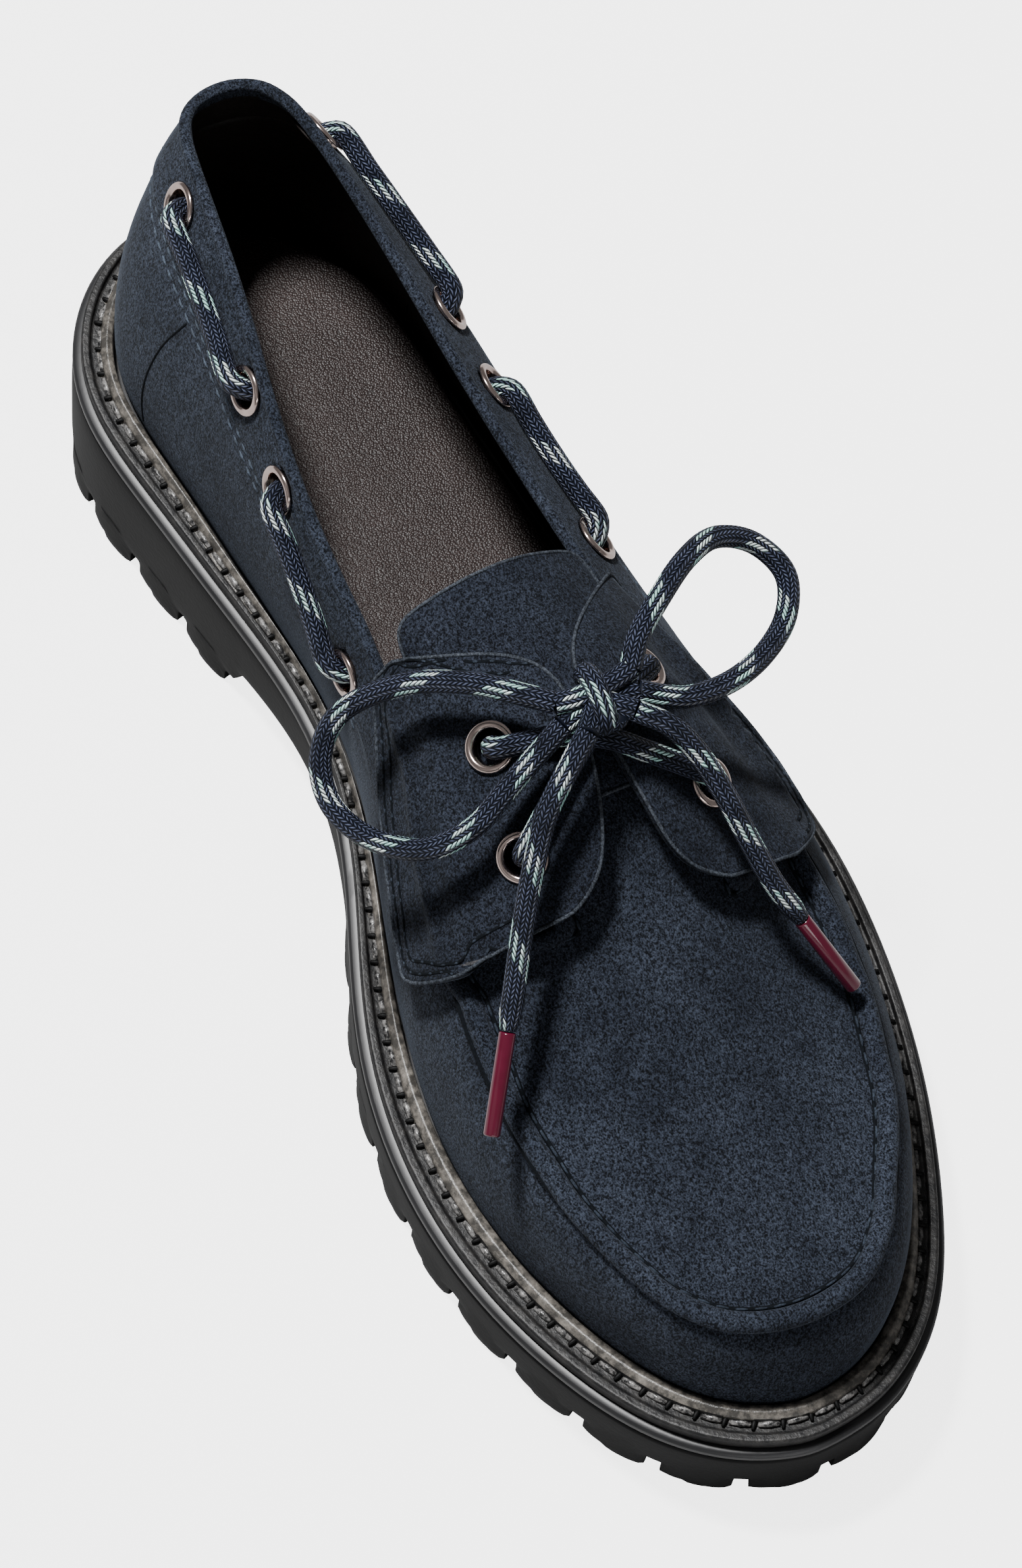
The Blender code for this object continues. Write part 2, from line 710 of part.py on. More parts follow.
def make_patch(name, grid, thickness, material):
    """A sheet through a grid of points, given its thickness inwards."""
    width = len(grid[0])
    points = [p for row in grid for p in row]
    faces = [[r * width + c, r * width + c + 1, (r + 1) * width + c + 1, (r + 1) * width + c]
             for r in range(len(grid) - 1) for c in range(width - 1)]
    patch = make_object(name, points, faces, material)
    work = bmesh.new()
    work.from_mesh(patch.data)
    bmesh.ops.recalc_face_normals(work, faces=work.faces)
    if sum(face.normal.z for face in work.faces) < 0:
        bmesh.ops.reverse_faces(work, faces=work.faces)
    work.to_mesh(patch.data)
    work.free()
    solidify(patch, thickness)
    return patch


# The tongue, from its free back edge to its front end under the flaps: share of the instep's width at
# which each row starts and ends, and how far it stands above its seat.
TongueRow = namedtuple("TongueRow", "station start end lift")
TONGUE = [
    TongueRow(126.5, 0.14, 0.86, 1.4),
    TongueRow(129.0, 0.11, 0.89, 1.2),
    TongueRow(133.0, 0.10, 0.90, 0.7),
    TongueRow(138.0, 0.10, 0.90, 0.3),
    TongueRow(144.0, 0.11, 0.89, 0.1),
    TongueRow(151.0, 0.12, 0.88, 0.2),
    TongueRow(158.0, 0.14, 0.86, 0.4),
    TongueRow(165.0, 0.17, 0.83, 0.4),
    TongueRow(172.0, 0.22, 0.78, 0.2),
]


def make_tongue(suede):
    columns = 9
    grid = []
    for row in TONGUE:
        line = []
        for c in range(columns):
            w = row.start + (row.end - row.start) * c / (columns - 1)
            start = top_point(ring_position(row.station, MEDIAL))
            end = top_point(ring_position(row.station, LATERAL))
            offset = w * (end - start).length
            line.append(lifted(row.station, MEDIAL, offset, SHEET + GAP + 0.2 + row.lift))
        grid.append(line)
    return make_patch("tongue", grid, SHEET, suede)


def flap_lift(offset, curl):
    """Flaps lie on the wall, and over the instep on the tongue."""
    return SHEET + GAP + 0.2 + (SHEET + GAP + 0.7) * ease(-3.0, 6.0, offset) + curl


def flap_height(eyelet, side):
    """How far the flap's outer face stands off the skin at an eyelet."""
    stations = np.array([row.station for row in FLAPS[side]])
    curls = np.array([row.lift for row in FLAPS[side]])
    return flap_lift(eyelet.offset, through(stations, curls, eyelet.station))


def make_flap(side, leather):
    sign = LATERAL if side == "lateral" else MEDIAL
    columns = 11
    grid = []
    for row in FLAPS[side]:
        line = []
        for c in range(columns):
            offset = row.start + (row.end - row.start) * c / (columns - 1)
            line.append(lifted(row.station, sign, offset, flap_lift(offset, row.lift)))
        grid.append(line)
    flap = make_patch("flap_" + side, grid, SHEET, leather)
    holes = [(e, side, flap_height(e, side)) for e in FLAP_EYELETS[side]]
    boolean(flap, make_punch("flap_punch_" + side, holes, leather), "DIFFERENCE")
    return flap


# ---------------------------------------------------------------- laces

# The bow, as (station, side, height) along the middle of each strand. It hovers in front of the tongue.
KNOT_CENTRE = (162.0, -0.5, 106.8)
LOOP_MEDIAL = [(160.0, -8.0, 107.4), (156.0, -12.5, 107.5), (149.0, -19.0, 105.0), (141.5, -28.0, 99.0),
               (138.0, -38.0, 91.0), (142.5, -44.5, 86.5), (151.0, -46.5, 84.0), (160.0, -43.5, 84.5),
               (168.0, -37.0, 88.5), (170.0, -28.5, 93.5), (167.5, -20.5, 98.0), (165.0, -13.0, 102.0),
               (163.5, -8.0, 105.0)]
LOOP_LATERAL = [(160.0, 7.0, 108.4), (155.5, 11.0, 110.0), (150.5, 18.0, 111.0), (145.5, 26.0, 110.5),
                (142.5, 34.0, 107.5), (144.5, 41.5, 103.0), (151.0, 45.0, 99.5), (158.0, 41.5, 98.0),
                (163.5, 34.0, 99.0), (167.0, 25.0, 101.5), (167.5, 16.0, 103.5), (165.5, 11.0, 104.5),
                (163.5, 7.0, 106.0)]
END_MEDIAL = [(167.7, -5.5, 107.2), (171.0, -10.5, 105.0), (176.0, -17.5, 99.5), (183.0, -23.5, 92.0),
              (190.0, -28.5, 85.0), (196.0, -32.5, 79.5), (201.0, -36.0, 75.5)]
END_LATERAL = [(167.6, 4.4, 107.6), (172.5, 9.0, 106.3), (178.0, 12.5, 101.5), (185.0, 14.5, 96.5),
               (192.0, 16.5, 89.5), (198.5, 19.0, 82.0), (204.0, 22.5, 75.0)]
AGLET_LENGTH = 19.0


def drawn_through(points, spacing):
    """Points at an even spacing along a smooth curve through the given ones."""
    stops = [Vector(p) for p in points]
    stops = [2 * stops[0] - stops[1]] + stops + [2 * stops[-1] - stops[-2]]
    fine = []
    for a, b, c, d in zip(stops, stops[1:], stops[2:], stops[3:]):
        for k in range(12):
            t = k / 12
            fine.append(0.5 * (2 * b + (c - a) * t + (2 * a - 5 * b + 4 * c - d) * t * t
                               + (3 * b - a - 3 * c + d) * t ** 3))
    fine.append(stops[-2])
    lengths = np.concatenate([[0.0], np.cumsum([(q - p).length for p, q in zip(fine, fine[1:])])])
    count = max(round(lengths[-1] / spacing), 2)
    found = []
    for k in range(count + 1):
        at = lengths[-1] * k / count
        i = min(int(np.searchsorted(lengths, at, side="right")) - 1, len(fine) - 2)
        found.append(fine[i].lerp(fine[i + 1], (at - lengths[i]) / (lengths[i + 1] - lengths[i])))
    return found


def make_cord(name, points, diameter, material, spacing=2.2):
    """A round cord as a curve; the spacing of its points is given in diameters."""
    curve = bpy.data.curves.new(name, "CURVE")
    curve.dimensions = "3D"
    curve.bevel_depth = diameter / 2 * MM
    curve.bevel_resolution = 2
    curve.use_fill_caps = True
    along = drawn_through(points, spacing * diameter) if spacing else [Vector(p) for p in points]
    spline = curve.splines.new("POLY")
    spline.points.add(len(along) - 1)
    for stop, point in zip(spline.points, along):
        stop.co = (*place(point), 1.0)
    cord = bpy.data.objects.new(name, curve)
    bpy.context.scene.collection.objects.link(cord)
    curve.materials.append(material)
    return cord


def make_strand(name, points, diameter, material, closed=False, sides=8):
    """The same as a mesh, for pieces that are joined."""
    count = len(points)
    across = None
    rings = []
    for k, point in enumerate(points):
        ahead = points[(k + 1) % count] if closed else points[min(k + 1, count - 1)]
        behind = points[k - 1] if closed else points[max(k - 1, 0)]
        forward = (ahead - behind).normalized()
        if across is None:
            across = forward.orthogonal()
        across = (across - forward * across.dot(forward)).normalized()
        up = forward.cross(across)
        ring = [point + (across * math.cos(t) + up * math.sin(t)) * (diameter / 2)
                for t in [2 * math.pi * i / sides for i in range(sides)]]
        rings.append(ring)
    flat = [p for ring in rings for p in ring]
    faces = []
    for k in range(count if closed else count - 1):
        low, high = k * sides, (k + 1) % count * sides
        for i in range(sides):
            j = (i + 1) % sides
            faces.append([low + i, low + j, high + j, high + i])
    if not closed:
        faces += [list(range(sides))[::-1], [(count - 1) * sides + i for i in range(sides)]]
    strand = make_object(name, flat, faces, material)
    face_outwards(strand)
    return strand


def eyelet_exit(eyelet, side, lift, towards):
    """Points that bring a lace out of an eyelet and over its flange: the way in, the rise and the turn."""
    frame = eyelet_frame(eyelet, side, lift)
    normal = frame.to_3x3().col[2]
    centre = frame.translation
    away = towards - centre
    away = (away - normal * away.dot(normal)).normalized()
    top = EYELET_SEAT + 0.8
    return [centre - normal * 0.8, centre + normal * (top + 0.6) + away * 0.4,
            centre + normal * (top + 3.1) + away * 3.0, centre + normal * (top + 3.4) + away * 6.5]


def make_side_lace(name, side, rear, front, cord):
    """The stretch of lace outside the cuff between two of its eyelets."""
    sign = LATERAL if side == "lateral" else MEDIAL
    ends = [eyelet_frame(e, side, CUFF_STEP).translation for e in (rear, front)]
    way = eyelet_exit(rear, side, CUFF_STEP, ends[1])
    for share in (0.35, 0.5, 0.65):
        station = rear.station + (front.station - rear.station) * share
        offset = rear.offset + (front.offset - rear.offset) * share
        way.append(lifted(station, sign, offset, CUFF_STEP + LACE / 2 + 1.1))
    way += eyelet_exit(front, side, CUFF_STEP, ends[0])[::-1]
    return make_strand(name, drawn_through(way, 5.0), LACE, cord)


def make_crossing(cord):
    """The two laces that cross over the tongue under the bow, from the flaps' front eyelets to the others."""
    strands = []
    for side, other, height in (("medial", "lateral", 0.0), ("lateral", "medial", 1.6)):
        front, rear = FLAP_EYELETS[side][1], FLAP_EYELETS[other][0]
        start = eyelet_frame(front, side, flap_height(front, side)).translation
        end = eyelet_frame(rear, other, flap_height(rear, other)).translation
        way = eyelet_exit(front, side, flap_height(front, side), end)
        for share, rise in ((0.3, 0.0), (0.5, height), (0.7, 0.0)):
            spot = start.lerp(end, share)
            low, high = (top_point(ring_position(spot.x, s)) for s in (MEDIAL, LATERAL))
            over = crown_point(spot.x, (spot.y - low.y) / (high.y - low.y)).z
            way.append(Vector((spot.x, spot.y, over + 2 * (SHEET + GAP) + LACE / 2 + 2.1 + rise)))
        way += eyelet_exit(rear, other, flap_height(rear, other), start)[::-1]
        strands.append(make_strand(f"lace_strand_{side}", drawn_through(way, 5.0), LACE, cord))
    strands[0].name = strands[0].data.name = "lace_crossing"
    boolean(strands[0], strands[1], "UNION")
    return strands[0]


def make_knot(cord):
    """One turn of lace round the middle of the bow, with the strands it holds."""
    centre = Vector(KNOT_CENTRE)
    turn = [centre + Vector((5.0 * math.cos(t), 0.0, 3.4 * math.sin(t)))
            for t in [2 * math.pi * i / 14 for i in range(14)]]
    knot = make_strand("bow_knot", turn, LACE, cord, closed=True)
    core = make_strand("knot_core", [centre + Vector((0.0, y, 0.0)) for y in (-5.75, 0.0, 5.75)], 7.6, cord)
    boolean(knot, core, "UNION")
    return knot


def make_bow(cord, cap):
    make_knot(cord)
    for side, loop, end in (("medial", LOOP_MEDIAL, END_MEDIAL), ("lateral", LOOP_LATERAL, END_LATERAL)):
        make_cord("bow_loop_" + side, loop, LACE, cord)
        make_cord("bow_end_" + side, end, LACE, cord)
        tail = Vector(end[-1])
        along = (tail - Vector(end[-2])).normalized()
        start = tail + along * GAP
        make_cord("aglet_" + side, [start, start + along * AGLET_LENGTH], AGLET, cap, spacing=0)


def main():
    clear_scene()
    rubber = finish("black_rubber", (0.02, 0.02, 0.022), 0.6)
    polish = finish("edge_polish", (0.015, 0.015, 0.017), 0.25)
    welt = finish("welt_leather", (0.03, 0.028, 0.028), 0.4)
    suede = finish("navy_suede", (0.025, 0.04, 0.075), 0.95)
    lining = finish("brown_leather", (0.06, 0.04, 0.032), 0.5)
    metal = finish("rose_nickel", (0.6, 0.48, 0.45), 0.25, 1.0)
    cord = finish("navy_lace", (0.03, 0.05, 0.1), 0.9)
    cap = finish("burgundy_tip", (0.25, 0.02, 0.05), 0.25)

    make_outsole(rubber)
    make_midsole(polish)
    make_welt(welt)
    make_insole(lining)
    make_upper(suede)
    make_tongue(suede)
    for side in ("medial", "lateral"):
        make_flap(side, suede)
        for number, eyelet in enumerate(COLLAR_EYELETS[side], 1):
            make_eyelet(f"collar_eyelet_{side}_{number}", eyelet, side, CUFF_STEP, metal)
        for number, eyelet in enumerate(FLAP_EYELETS[side], 1):
            make_eyelet(f"flap_eyelet_{side}_{number}", eyelet, side, flap_height(eyelet, side), metal)
        rear_to_front = COLLAR_EYELETS[side]
        make_side_lace(f"side_lace_{side}_rear", side, rear_to_front[0], rear_to_front[1], cord)
        make_side_lace(f"side_lace_{side}_front", side, rear_to_front[2], rear_to_front[3], cord)
    make_crossing(cord)
    make_bow(cord, cap)


main()
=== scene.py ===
# %% [markdown]
# # A boat loafer in navy suede, on a lugged sole
# One left shoe stands empty on a pale floor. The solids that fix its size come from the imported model, in
# metres, with the toe along +X, the outer side of the foot on +Y and +Z up. Every piece below is fitted to
# those solids or found on their surface.

# %% Load the solids and keep their box
import math

import bmesh
import bpy
import numpy as np
from mathutils import Matrix, Vector
from mathutils.bvhtree import BVHTree


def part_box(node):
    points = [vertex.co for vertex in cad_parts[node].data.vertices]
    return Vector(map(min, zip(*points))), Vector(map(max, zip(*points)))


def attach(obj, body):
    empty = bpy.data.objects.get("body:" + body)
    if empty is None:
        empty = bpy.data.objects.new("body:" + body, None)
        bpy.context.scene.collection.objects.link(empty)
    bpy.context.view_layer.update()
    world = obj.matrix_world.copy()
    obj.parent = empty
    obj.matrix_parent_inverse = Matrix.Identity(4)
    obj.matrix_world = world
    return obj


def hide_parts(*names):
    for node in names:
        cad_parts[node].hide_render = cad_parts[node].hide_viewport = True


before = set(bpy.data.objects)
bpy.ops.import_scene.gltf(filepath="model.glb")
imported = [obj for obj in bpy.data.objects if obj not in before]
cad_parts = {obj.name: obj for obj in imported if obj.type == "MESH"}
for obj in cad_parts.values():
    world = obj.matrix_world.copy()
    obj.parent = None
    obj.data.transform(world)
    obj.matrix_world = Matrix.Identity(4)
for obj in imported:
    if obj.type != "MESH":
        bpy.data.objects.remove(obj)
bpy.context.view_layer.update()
MM = 0.001
UP = Vector((0.0, 0.0, 1.0))

# %% [markdown]
# ## Camera
# A shoe in a catalogue is often seen from above and from its inner side, which shows the bow, the footbed and
# the edge of the sole together. The camera stands about 1.2 m away, high up, and is rolled a little. A long
# lens keeps the proportions calm.

# %% Place the camera
target = Vector((0.0047, -0.0048, 0.045))
eye = Vector((0.4387, -0.3348, 1.0913))
ROLL = math.radians(-10.67)

bpy.ops.object.camera_add(location=eye)
camera = bpy.context.active_object
camera.name = "camera"
back = (eye - target).normalized()
level = UP.cross(back).normalized()
upright = back.cross(level)
right = level * math.cos(ROLL) - upright * math.sin(ROLL)
up = upright * math.cos(ROLL) + level * math.sin(ROLL)
camera.matrix_world = Matrix.Translation(eye) @ Matrix((right, up, back)).transposed().to_4x4()
camera.data.sensor_fit = "HORIZONTAL"
camera.data.sensor_width = 36.0
camera.data.lens = 222.0
camera.data.clip_end = 20.0
bpy.context.scene.camera = camera
print("camera distance, m:", round((eye - target).length, 3))

# %% [markdown]
# ## Floor and light
# The floor is a wide pale sheet, which glows for the camera only, so it adds no light to the shoe. A small key
# high behind the heel draws the edges of the leather and lays short shadows under the bow. An even sky and a
# weak wide fill keep the inner side readable, and a strip low at the toe puts the long gleam on the sole.

# %% Floor
bpy.ops.mesh.primitive_plane_add(size=8.0, location=(0.0, 0.0, -0.0001))
floor = bpy.context.active_object
floor.name = "floor"

paper = bpy.data.materials.new("pale_paper")
paper.use_nodes = True
nodes, links = paper.node_tree.nodes, paper.node_tree.links
shader = nodes["Principled BSDF"]
for label, value in (("Base Color", (0.45, 0.45, 0.45, 1.0)), ("Roughness", 0.9), ("Specular IOR Level", 0.1),
                     ("Emission Color", (1.0, 1.0, 1.0, 1.0))):
    shader.inputs[label].default_value = value
seen = nodes.new("ShaderNodeLightPath")
glow = nodes.new("ShaderNodeMath")
glow.operation = "MULTIPLY"
glow.inputs[1].default_value = 3.6
links.new(seen.outputs["Is Camera Ray"], glow.inputs[0])
links.new(glow.outputs[0], shader.inputs["Emission Strength"])
floor.data.materials.append(paper)
print("floor:", [round(side, 1) for side in floor.dimensions])

# %% Lamps and sky
world = bpy.data.worlds.new("studio")
bpy.context.scene.world = world
world.use_nodes = True
world.node_tree.nodes["Background"].inputs["Color"].default_value = (1.0, 1.0, 1.0, 1.0)
world.node_tree.nodes["Background"].inputs["Strength"].default_value = 0.19


def soft_lamp(name, place, aim, size, watts):
    """An area lamp at place, facing aim."""
    bpy.ops.object.light_add(type="AREA", location=place)
    lamp = bpy.context.active_object
    lamp.name = name
    lamp.data.shape = "RECTANGLE"
    lamp.data.size, lamp.data.size_y = size
    lamp.data.energy = watts
    lamp.rotation_euler = (Vector(place) - Vector(aim)).to_track_quat("Z", "Y").to_euler()


soft_lamp("key", (-0.40, -0.28, 1.46), (0.0, 0.0, 0.05), (0.18, 0.18), 45.0)
soft_lamp("fill", (0.5, -1.2, 0.8), (0.0, 0.0, 0.05), (1.2, 0.7), 0.6)
soft_lamp("toe_strip", (1.2, -0.3, 0.35), (0.1, 0.0, 0.03), (0.9, 0.25), 3.2)

# %% [markdown]
# ## Working habits
# Each solid of the model stays where it is. A piece that gets a finer surface starts as a clean copy of its
# solid: the loose triangles are welded, paired into quads, and then smoothed and shaped with the usual edit
# tools and modifiers. The copy then stands for the solid.

# %% Helpers for selecting, copying and changing pieces
BODY = "root"
FLAT = math.radians(50.0)  # triangles that meet at less than this may pair into a quad


def only(*pieces):
    """Selects these pieces and nothing else; the last one is active."""
    bpy.ops.object.select_all(action="DESELECT")
    for piece in pieces:
        piece.select_set(True)
    bpy.context.view_layer.objects.active = pieces[-1]


def edit(piece):
    """Opens a piece in edit mode with nothing selected."""
    only(piece)
    bpy.ops.object.mode_set(mode="EDIT")
    bpy.ops.mesh.select_all(action="DESELECT")


def leave():
    bpy.ops.object.mode_set(mode="OBJECT")


def change(piece, kind, **settings):
    """Adds a modifier, sets it and applies it."""
    only(piece)
    modifier = piece.modifiers.new(kind.title(), kind)
    for name, value in settings.items():
        setattr(modifier, name, value)
    bpy.ops.object.modifier_apply(modifier=modifier.name)


def bevel(piece, width, segments, angle, smooth_below):
    """Rounds edges sharper than an angle and shades faces smooth below another; width is in millimetres."""
    change(piece, "BEVEL", width=width * MM, segments=segments, limit_method="ANGLE",
           angle_limit=math.radians(angle))
    bpy.ops.object.shade_smooth_by_angle(angle=math.radians(smooth_below))


def subdivide(piece, crease):
    """Rounds a piece by subdivision; crease(edge) says how far each edge stays sharp, from 0 to 1."""
    edit(piece)
    work = bmesh.from_edit_mesh(piece.data)
    layer = work.edges.layers.float.get("crease_edge") or work.edges.layers.float.new("crease_edge")
    for edge in work.edges:
        edge[layer] = crease(edge)
    bmesh.update_edit_mesh(piece.data)
    leave()
    change(piece, "SUBSURF", levels=2, render_levels=2)


def sharper_than(angle, amount):
    """A crease of one amount for the edges sharper than an angle in degrees."""
    return lambda edge: amount if edge.calc_face_angle(0.0) > math.radians(angle) else 0.0


def new_piece(name, points, faces, material, edges=()):
    """A new piece from its points and faces."""
    mesh = bpy.data.meshes.new(name)
    mesh.from_pydata(points, edges, faces)
    mesh.materials.append(material)
    piece = bpy.data.objects.new(name, mesh)
    bpy.context.scene.collection.objects.link(piece)
    return piece


def clean_copy(node, name, *materials):
    """A welded copy of a solid, in quads where its triangles pair up."""
    piece = bpy.data.objects.new(name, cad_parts[node].data.copy())
    piece.data.name = name
    piece.data.materials.clear()
    for material in materials:
        piece.data.materials.append(material)
    bpy.context.scene.collection.objects.link(piece)
    edit(piece)
    bpy.ops.mesh.select_all(action="SELECT")
    bpy.ops.mesh.remove_doubles(threshold=0.02 * MM)
    bpy.ops.mesh.tris_convert_to_quads(face_threshold=FLAT, shape_threshold=FLAT)
    leave()
    bpy.ops.object.shade_smooth()
    return piece


def joined(pieces, name):
    """Several pieces made one."""
    only(*pieces)
    bpy.ops.object.join()
    pieces[-1].name = pieces[-1].data.name = name
    return pieces[-1]


def stands_for(piece, slot, *nodes):
    """The piece rides on the shoe and hides the solids that it stands for. Its slot is not used."""
    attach(piece, BODY)
    if nodes:
        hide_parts(*nodes)
    print(f"{piece.name}: {len(piece.data.polygons)} faces")


# %% [markdown]
# ## Finishes as node groups
# Suede, smooth leather, rubber and braid each have an effect that more than one piece needs. Each effect is a
# node group that puts out a colour and a height; the material keeps its own shader, where gloss and sheen are
# set. Patterns read object coordinates, in metres, so their scales are the real ones.

# %% Helpers for nodes
def put(tree, kind, feeds=(), **settings):
    """Adds a node. feeds pairs an input with a value, or with the output that is linked to it."""
    node = tree.nodes.new("ShaderNode" + kind)
    for name, value in settings.items():
        setattr(node, name, value)
    for slot, value in dict(feeds).items():
        if isinstance(value, bpy.types.NodeSocket):
            tree.links.new(value, node.inputs[slot])
        else:
            node.inputs[slot].default_value = value
    return node


def maths(tree, operation, *values):
    return put(tree, "Math", enumerate(values), operation=operation).outputs[0]


def times(tree, first, second):
    return maths(tree, "MULTIPLY", first, second)


def plus(tree, first, second):
    return maths(tree, "ADD", first, second)


def between(tree, factor, first, second):
    """A colour between two colours."""
    return put(tree, "Mix", {0: factor, 6: first, 7: second}, data_type="RGBA").outputs[2]


def brightened(tree, colour, factor):
    return put(tree, "HueSaturation", {"Color": colour, "Value": factor}).outputs[0]


def ramp(tree, value, low, high, start=0.0, end=1.0):
    return put(tree, "MapRange", {0: value, 1: low, 2: high, 3: start, 4: end}).outputs[0]


def noise(tree, place, scale, detail=2.0, rough=0.5):
    feeds = {"Vector": place, "Scale": scale, "Detail": detail, "Roughness": rough}
    return put(tree, "TexNoise", feeds).outputs[0]


def new_group(name, colours, numbers, outputs=("Color", "Height")):
    """An empty group with colour inputs, then number inputs; returns its tree, its inputs, its output node and
    the object coordinates."""
    tree = bpy.data.node_groups.new(name, "ShaderNodeTree")
    sockets = [(label, "INPUT", "Color") for label in colours]
    sockets += [(label, "INPUT", "Float") for label in numbers]
    sockets += [(label, "OUTPUT", "Color" if label == "Color" else "Float") for label in outputs]
    for label, way, kind in sockets:
        tree.interface.new_socket(name=label, in_out=way, socket_type="NodeSocket" + kind)
    place = put(tree, "TexCoord").outputs["Object"]
    return tree, tree.nodes.new("NodeGroupInput").outputs, tree.nodes.new("NodeGroupOutput"), place


def give(tree, output, **values):
    for label, socket in values.items():
        tree.links.new(socket, output.inputs[label])


# %% [markdown]
# Suede is split leather, sanded until short fibres stand up. The fibres lean where they were last brushed, so
# broad soft patches look lighter or darker, and close up the surface is a fine speckle with no gloss.

# %% Suede group
nap, given, result, place = new_group("nap", ("Base", "Brushed"), ("Patches", "Speckle"))
broad = ramp(nap, noise(nap, place, 20.0, 3.0, 0.6), 0.36, 0.66)
middle = ramp(nap, noise(nap, place, 120.0, 3.0, 0.6), 0.32, 0.70)
patch = times(nap, plus(nap, times(nap, broad, 0.55), times(nap, middle, 0.45)), given["Patches"])
fibre = put(nap, "Mapping", {"Vector": place, "Scale": (0.85, 1.0, 0.6)}).outputs[0]
coarse = noise(nap, fibre, 1350.0, 2.0, 0.6)
fine = noise(nap, fibre, 2900.0, 2.0, 0.7)
speckle = ramp(nap, plus(nap, times(nap, fine, 0.7), times(nap, coarse, 0.3)), 0.42, 0.64, -0.75, 1.5)
toned = between(nap, patch, given["Base"], given["Brushed"])
toned = brightened(nap, toned, plus(nap, times(nap, speckle, given["Speckle"]), 1.0))
give(nap, result, Color=toned, Height=plus(nap, fine, times(nap, coarse, 0.8)))
print("nap:", len(nap.nodes), "nodes")

# %% [markdown]
# Smooth leather shows a pebble grain: small rounded cells with creases between them, and a tone that shifts
# slowly over the hide. Polished edges and rubber share the last part, a faint cloud of wear in their tone; on
# the welt's bead that cloud is partly a painted highlight, and on its waxed thread it is painted glints.

# %% Grain group, and the group for wear and painted glints
grain, given, result, place = new_group("grain", ("Base", "Wear and glint"), ("Cell", "Wear"))
cells = put(grain, "TexVoronoi", {"Vector": place, "Scale": given["Cell"]}).outputs["Distance"]
cloud = ramp(grain, noise(grain, place, 45.0, 4.0, 0.6), 0.4, 0.7)
toned = between(grain, times(grain, cloud, given["Wear"]), given["Base"], given["Wear and glint"])
toned = brightened(grain, toned, ramp(grain, cells, 0.25, 0.8, 1.15, 0.6))
give(grain, result, Color=toned, Height=ramp(grain, cells, 0.2, 0.8, 1.0, 0.0))

wear_and_glint, given, result, place = new_group("wear_and_glint", ("Base", "Wear and glint"), ("Size", "Wear"))
cloud = ramp(wear_and_glint, noise(wear_and_glint, place, given["Size"], 5.0, 0.7), 0.42, 0.72)
toned = between(wear_and_glint, times(wear_and_glint, cloud, given["Wear"]), given["Base"], given["Wear and glint"])
give(wear_and_glint, result, Color=toned, Height=noise(wear_and_glint, place, 900.0, 3.0, 0.6))
print("grain and worn:", len(grain.nodes), "and", len(wear_and_glint.nodes), "nodes")

# %% [markdown]
# Each material takes its colour and its relief from one of these groups and sets its own gloss, sheen or
# metal. Suede also gets a painted sheen: its colour pales where it is seen edgewise, as its fibres catch
# light.

# %% Materials from the groups
def finish(name, group, given, roughness, bump, depth, painted_sheen=None, **shader_values):
    """A material that feeds its shader from a group. given fills the group's inputs in order, bump is the
    strength of its relief and depth the relief's height in millimetres."""
    material = bpy.data.materials.new(name)
    material.use_nodes = True
    tree = material.node_tree
    shader = tree.nodes["Principled BSDF"]
    effect = put(tree, "Group", node_tree=group)
    for socket, value in zip(effect.inputs, given):
        socket.default_value = (*value, 1.0) if isinstance(value, tuple) else value
    colour = effect.outputs["Color"]
    # Painted sheen: the colour turns towards a paler one where the surface is seen edgewise
    if painted_sheen:
        edgewise = ramp(tree, put(tree, "LayerWeight", {0: 0.5}).outputs["Facing"], 0.78, 1.0)
        colour = between(tree, edgewise, colour, (*painted_sheen, 1.0))
    relief = put(tree, "Bump", {"Strength": bump, "Distance": depth * MM, "Height": effect.outputs["Height"]})
    tree.links.new(colour, shader.inputs["Base Color"])
    tree.links.new(relief.outputs[0], shader.inputs["Normal"])
    shader.inputs["Roughness"].default_value = roughness
    for label, value in shader_values.items():
        shader.inputs[label.replace("_", " ")].default_value = value
    material.diffuse_color = (*given[0], 1.0)
    return material


# Painted sheen: the paler colour that suede takes where it is seen edgewise
EDGEWISE_SHEEN = (0.055, 0.068, 0.092)  # short fibres seen edgewise catch more light
SOFT = {"Specular_IOR_Level": 0.12, "Sheen_Roughness": 0.5, "Sheen_Tint": (0.6, 0.66, 0.75, 1.0)}

# Suede: base colour, brushed colour, patches, speckle
suede = finish("navy_suede", nap, [(0.0083, 0.0105, 0.0161), (0.0240, 0.0292, 0.0415), 0.95, 1.1],
               0.95, 0.8, 0.4, EDGEWISE_SHEEN, Sheen_Weight=0.04, **SOFT)
flap_suede = finish("flap_suede", nap, [(0.0057, 0.0073, 0.0115), (0.0185, 0.0224, 0.0325), 0.95, 1.1],
                    0.95, 0.8, 0.4, EDGEWISE_SHEEN, Sheen_Weight=0.03, **SOFT)
suede_edge = finish("suede_cut_edge", nap, [(0.030, 0.030, 0.033), (0.072, 0.069, 0.073), 0.8, 0.6],
                    0.95, 0.4, 0.3, Specular_IOR_Level=0.15)
pale_suede = finish("pale_suede_edge", nap, [(0.020, 0.024, 0.031), (0.052, 0.059, 0.072), 0.9, 0.7],
                    0.95, 0.4, 0.3, Specular_IOR_Level=0.12)
thread = finish("navy_thread", nap, [(0.02, 0.029, 0.044), (0.05, 0.068, 0.095), 0.8, 0.5], 0.8, 0.4, 0.2)
dull_thread = finish("dull_thread", nap, [(0.010, 0.014, 0.022), (0.030, 0.040, 0.056), 0.8, 0.5],
                     0.85, 0.4, 0.2, Specular_IOR_Level=0.2)
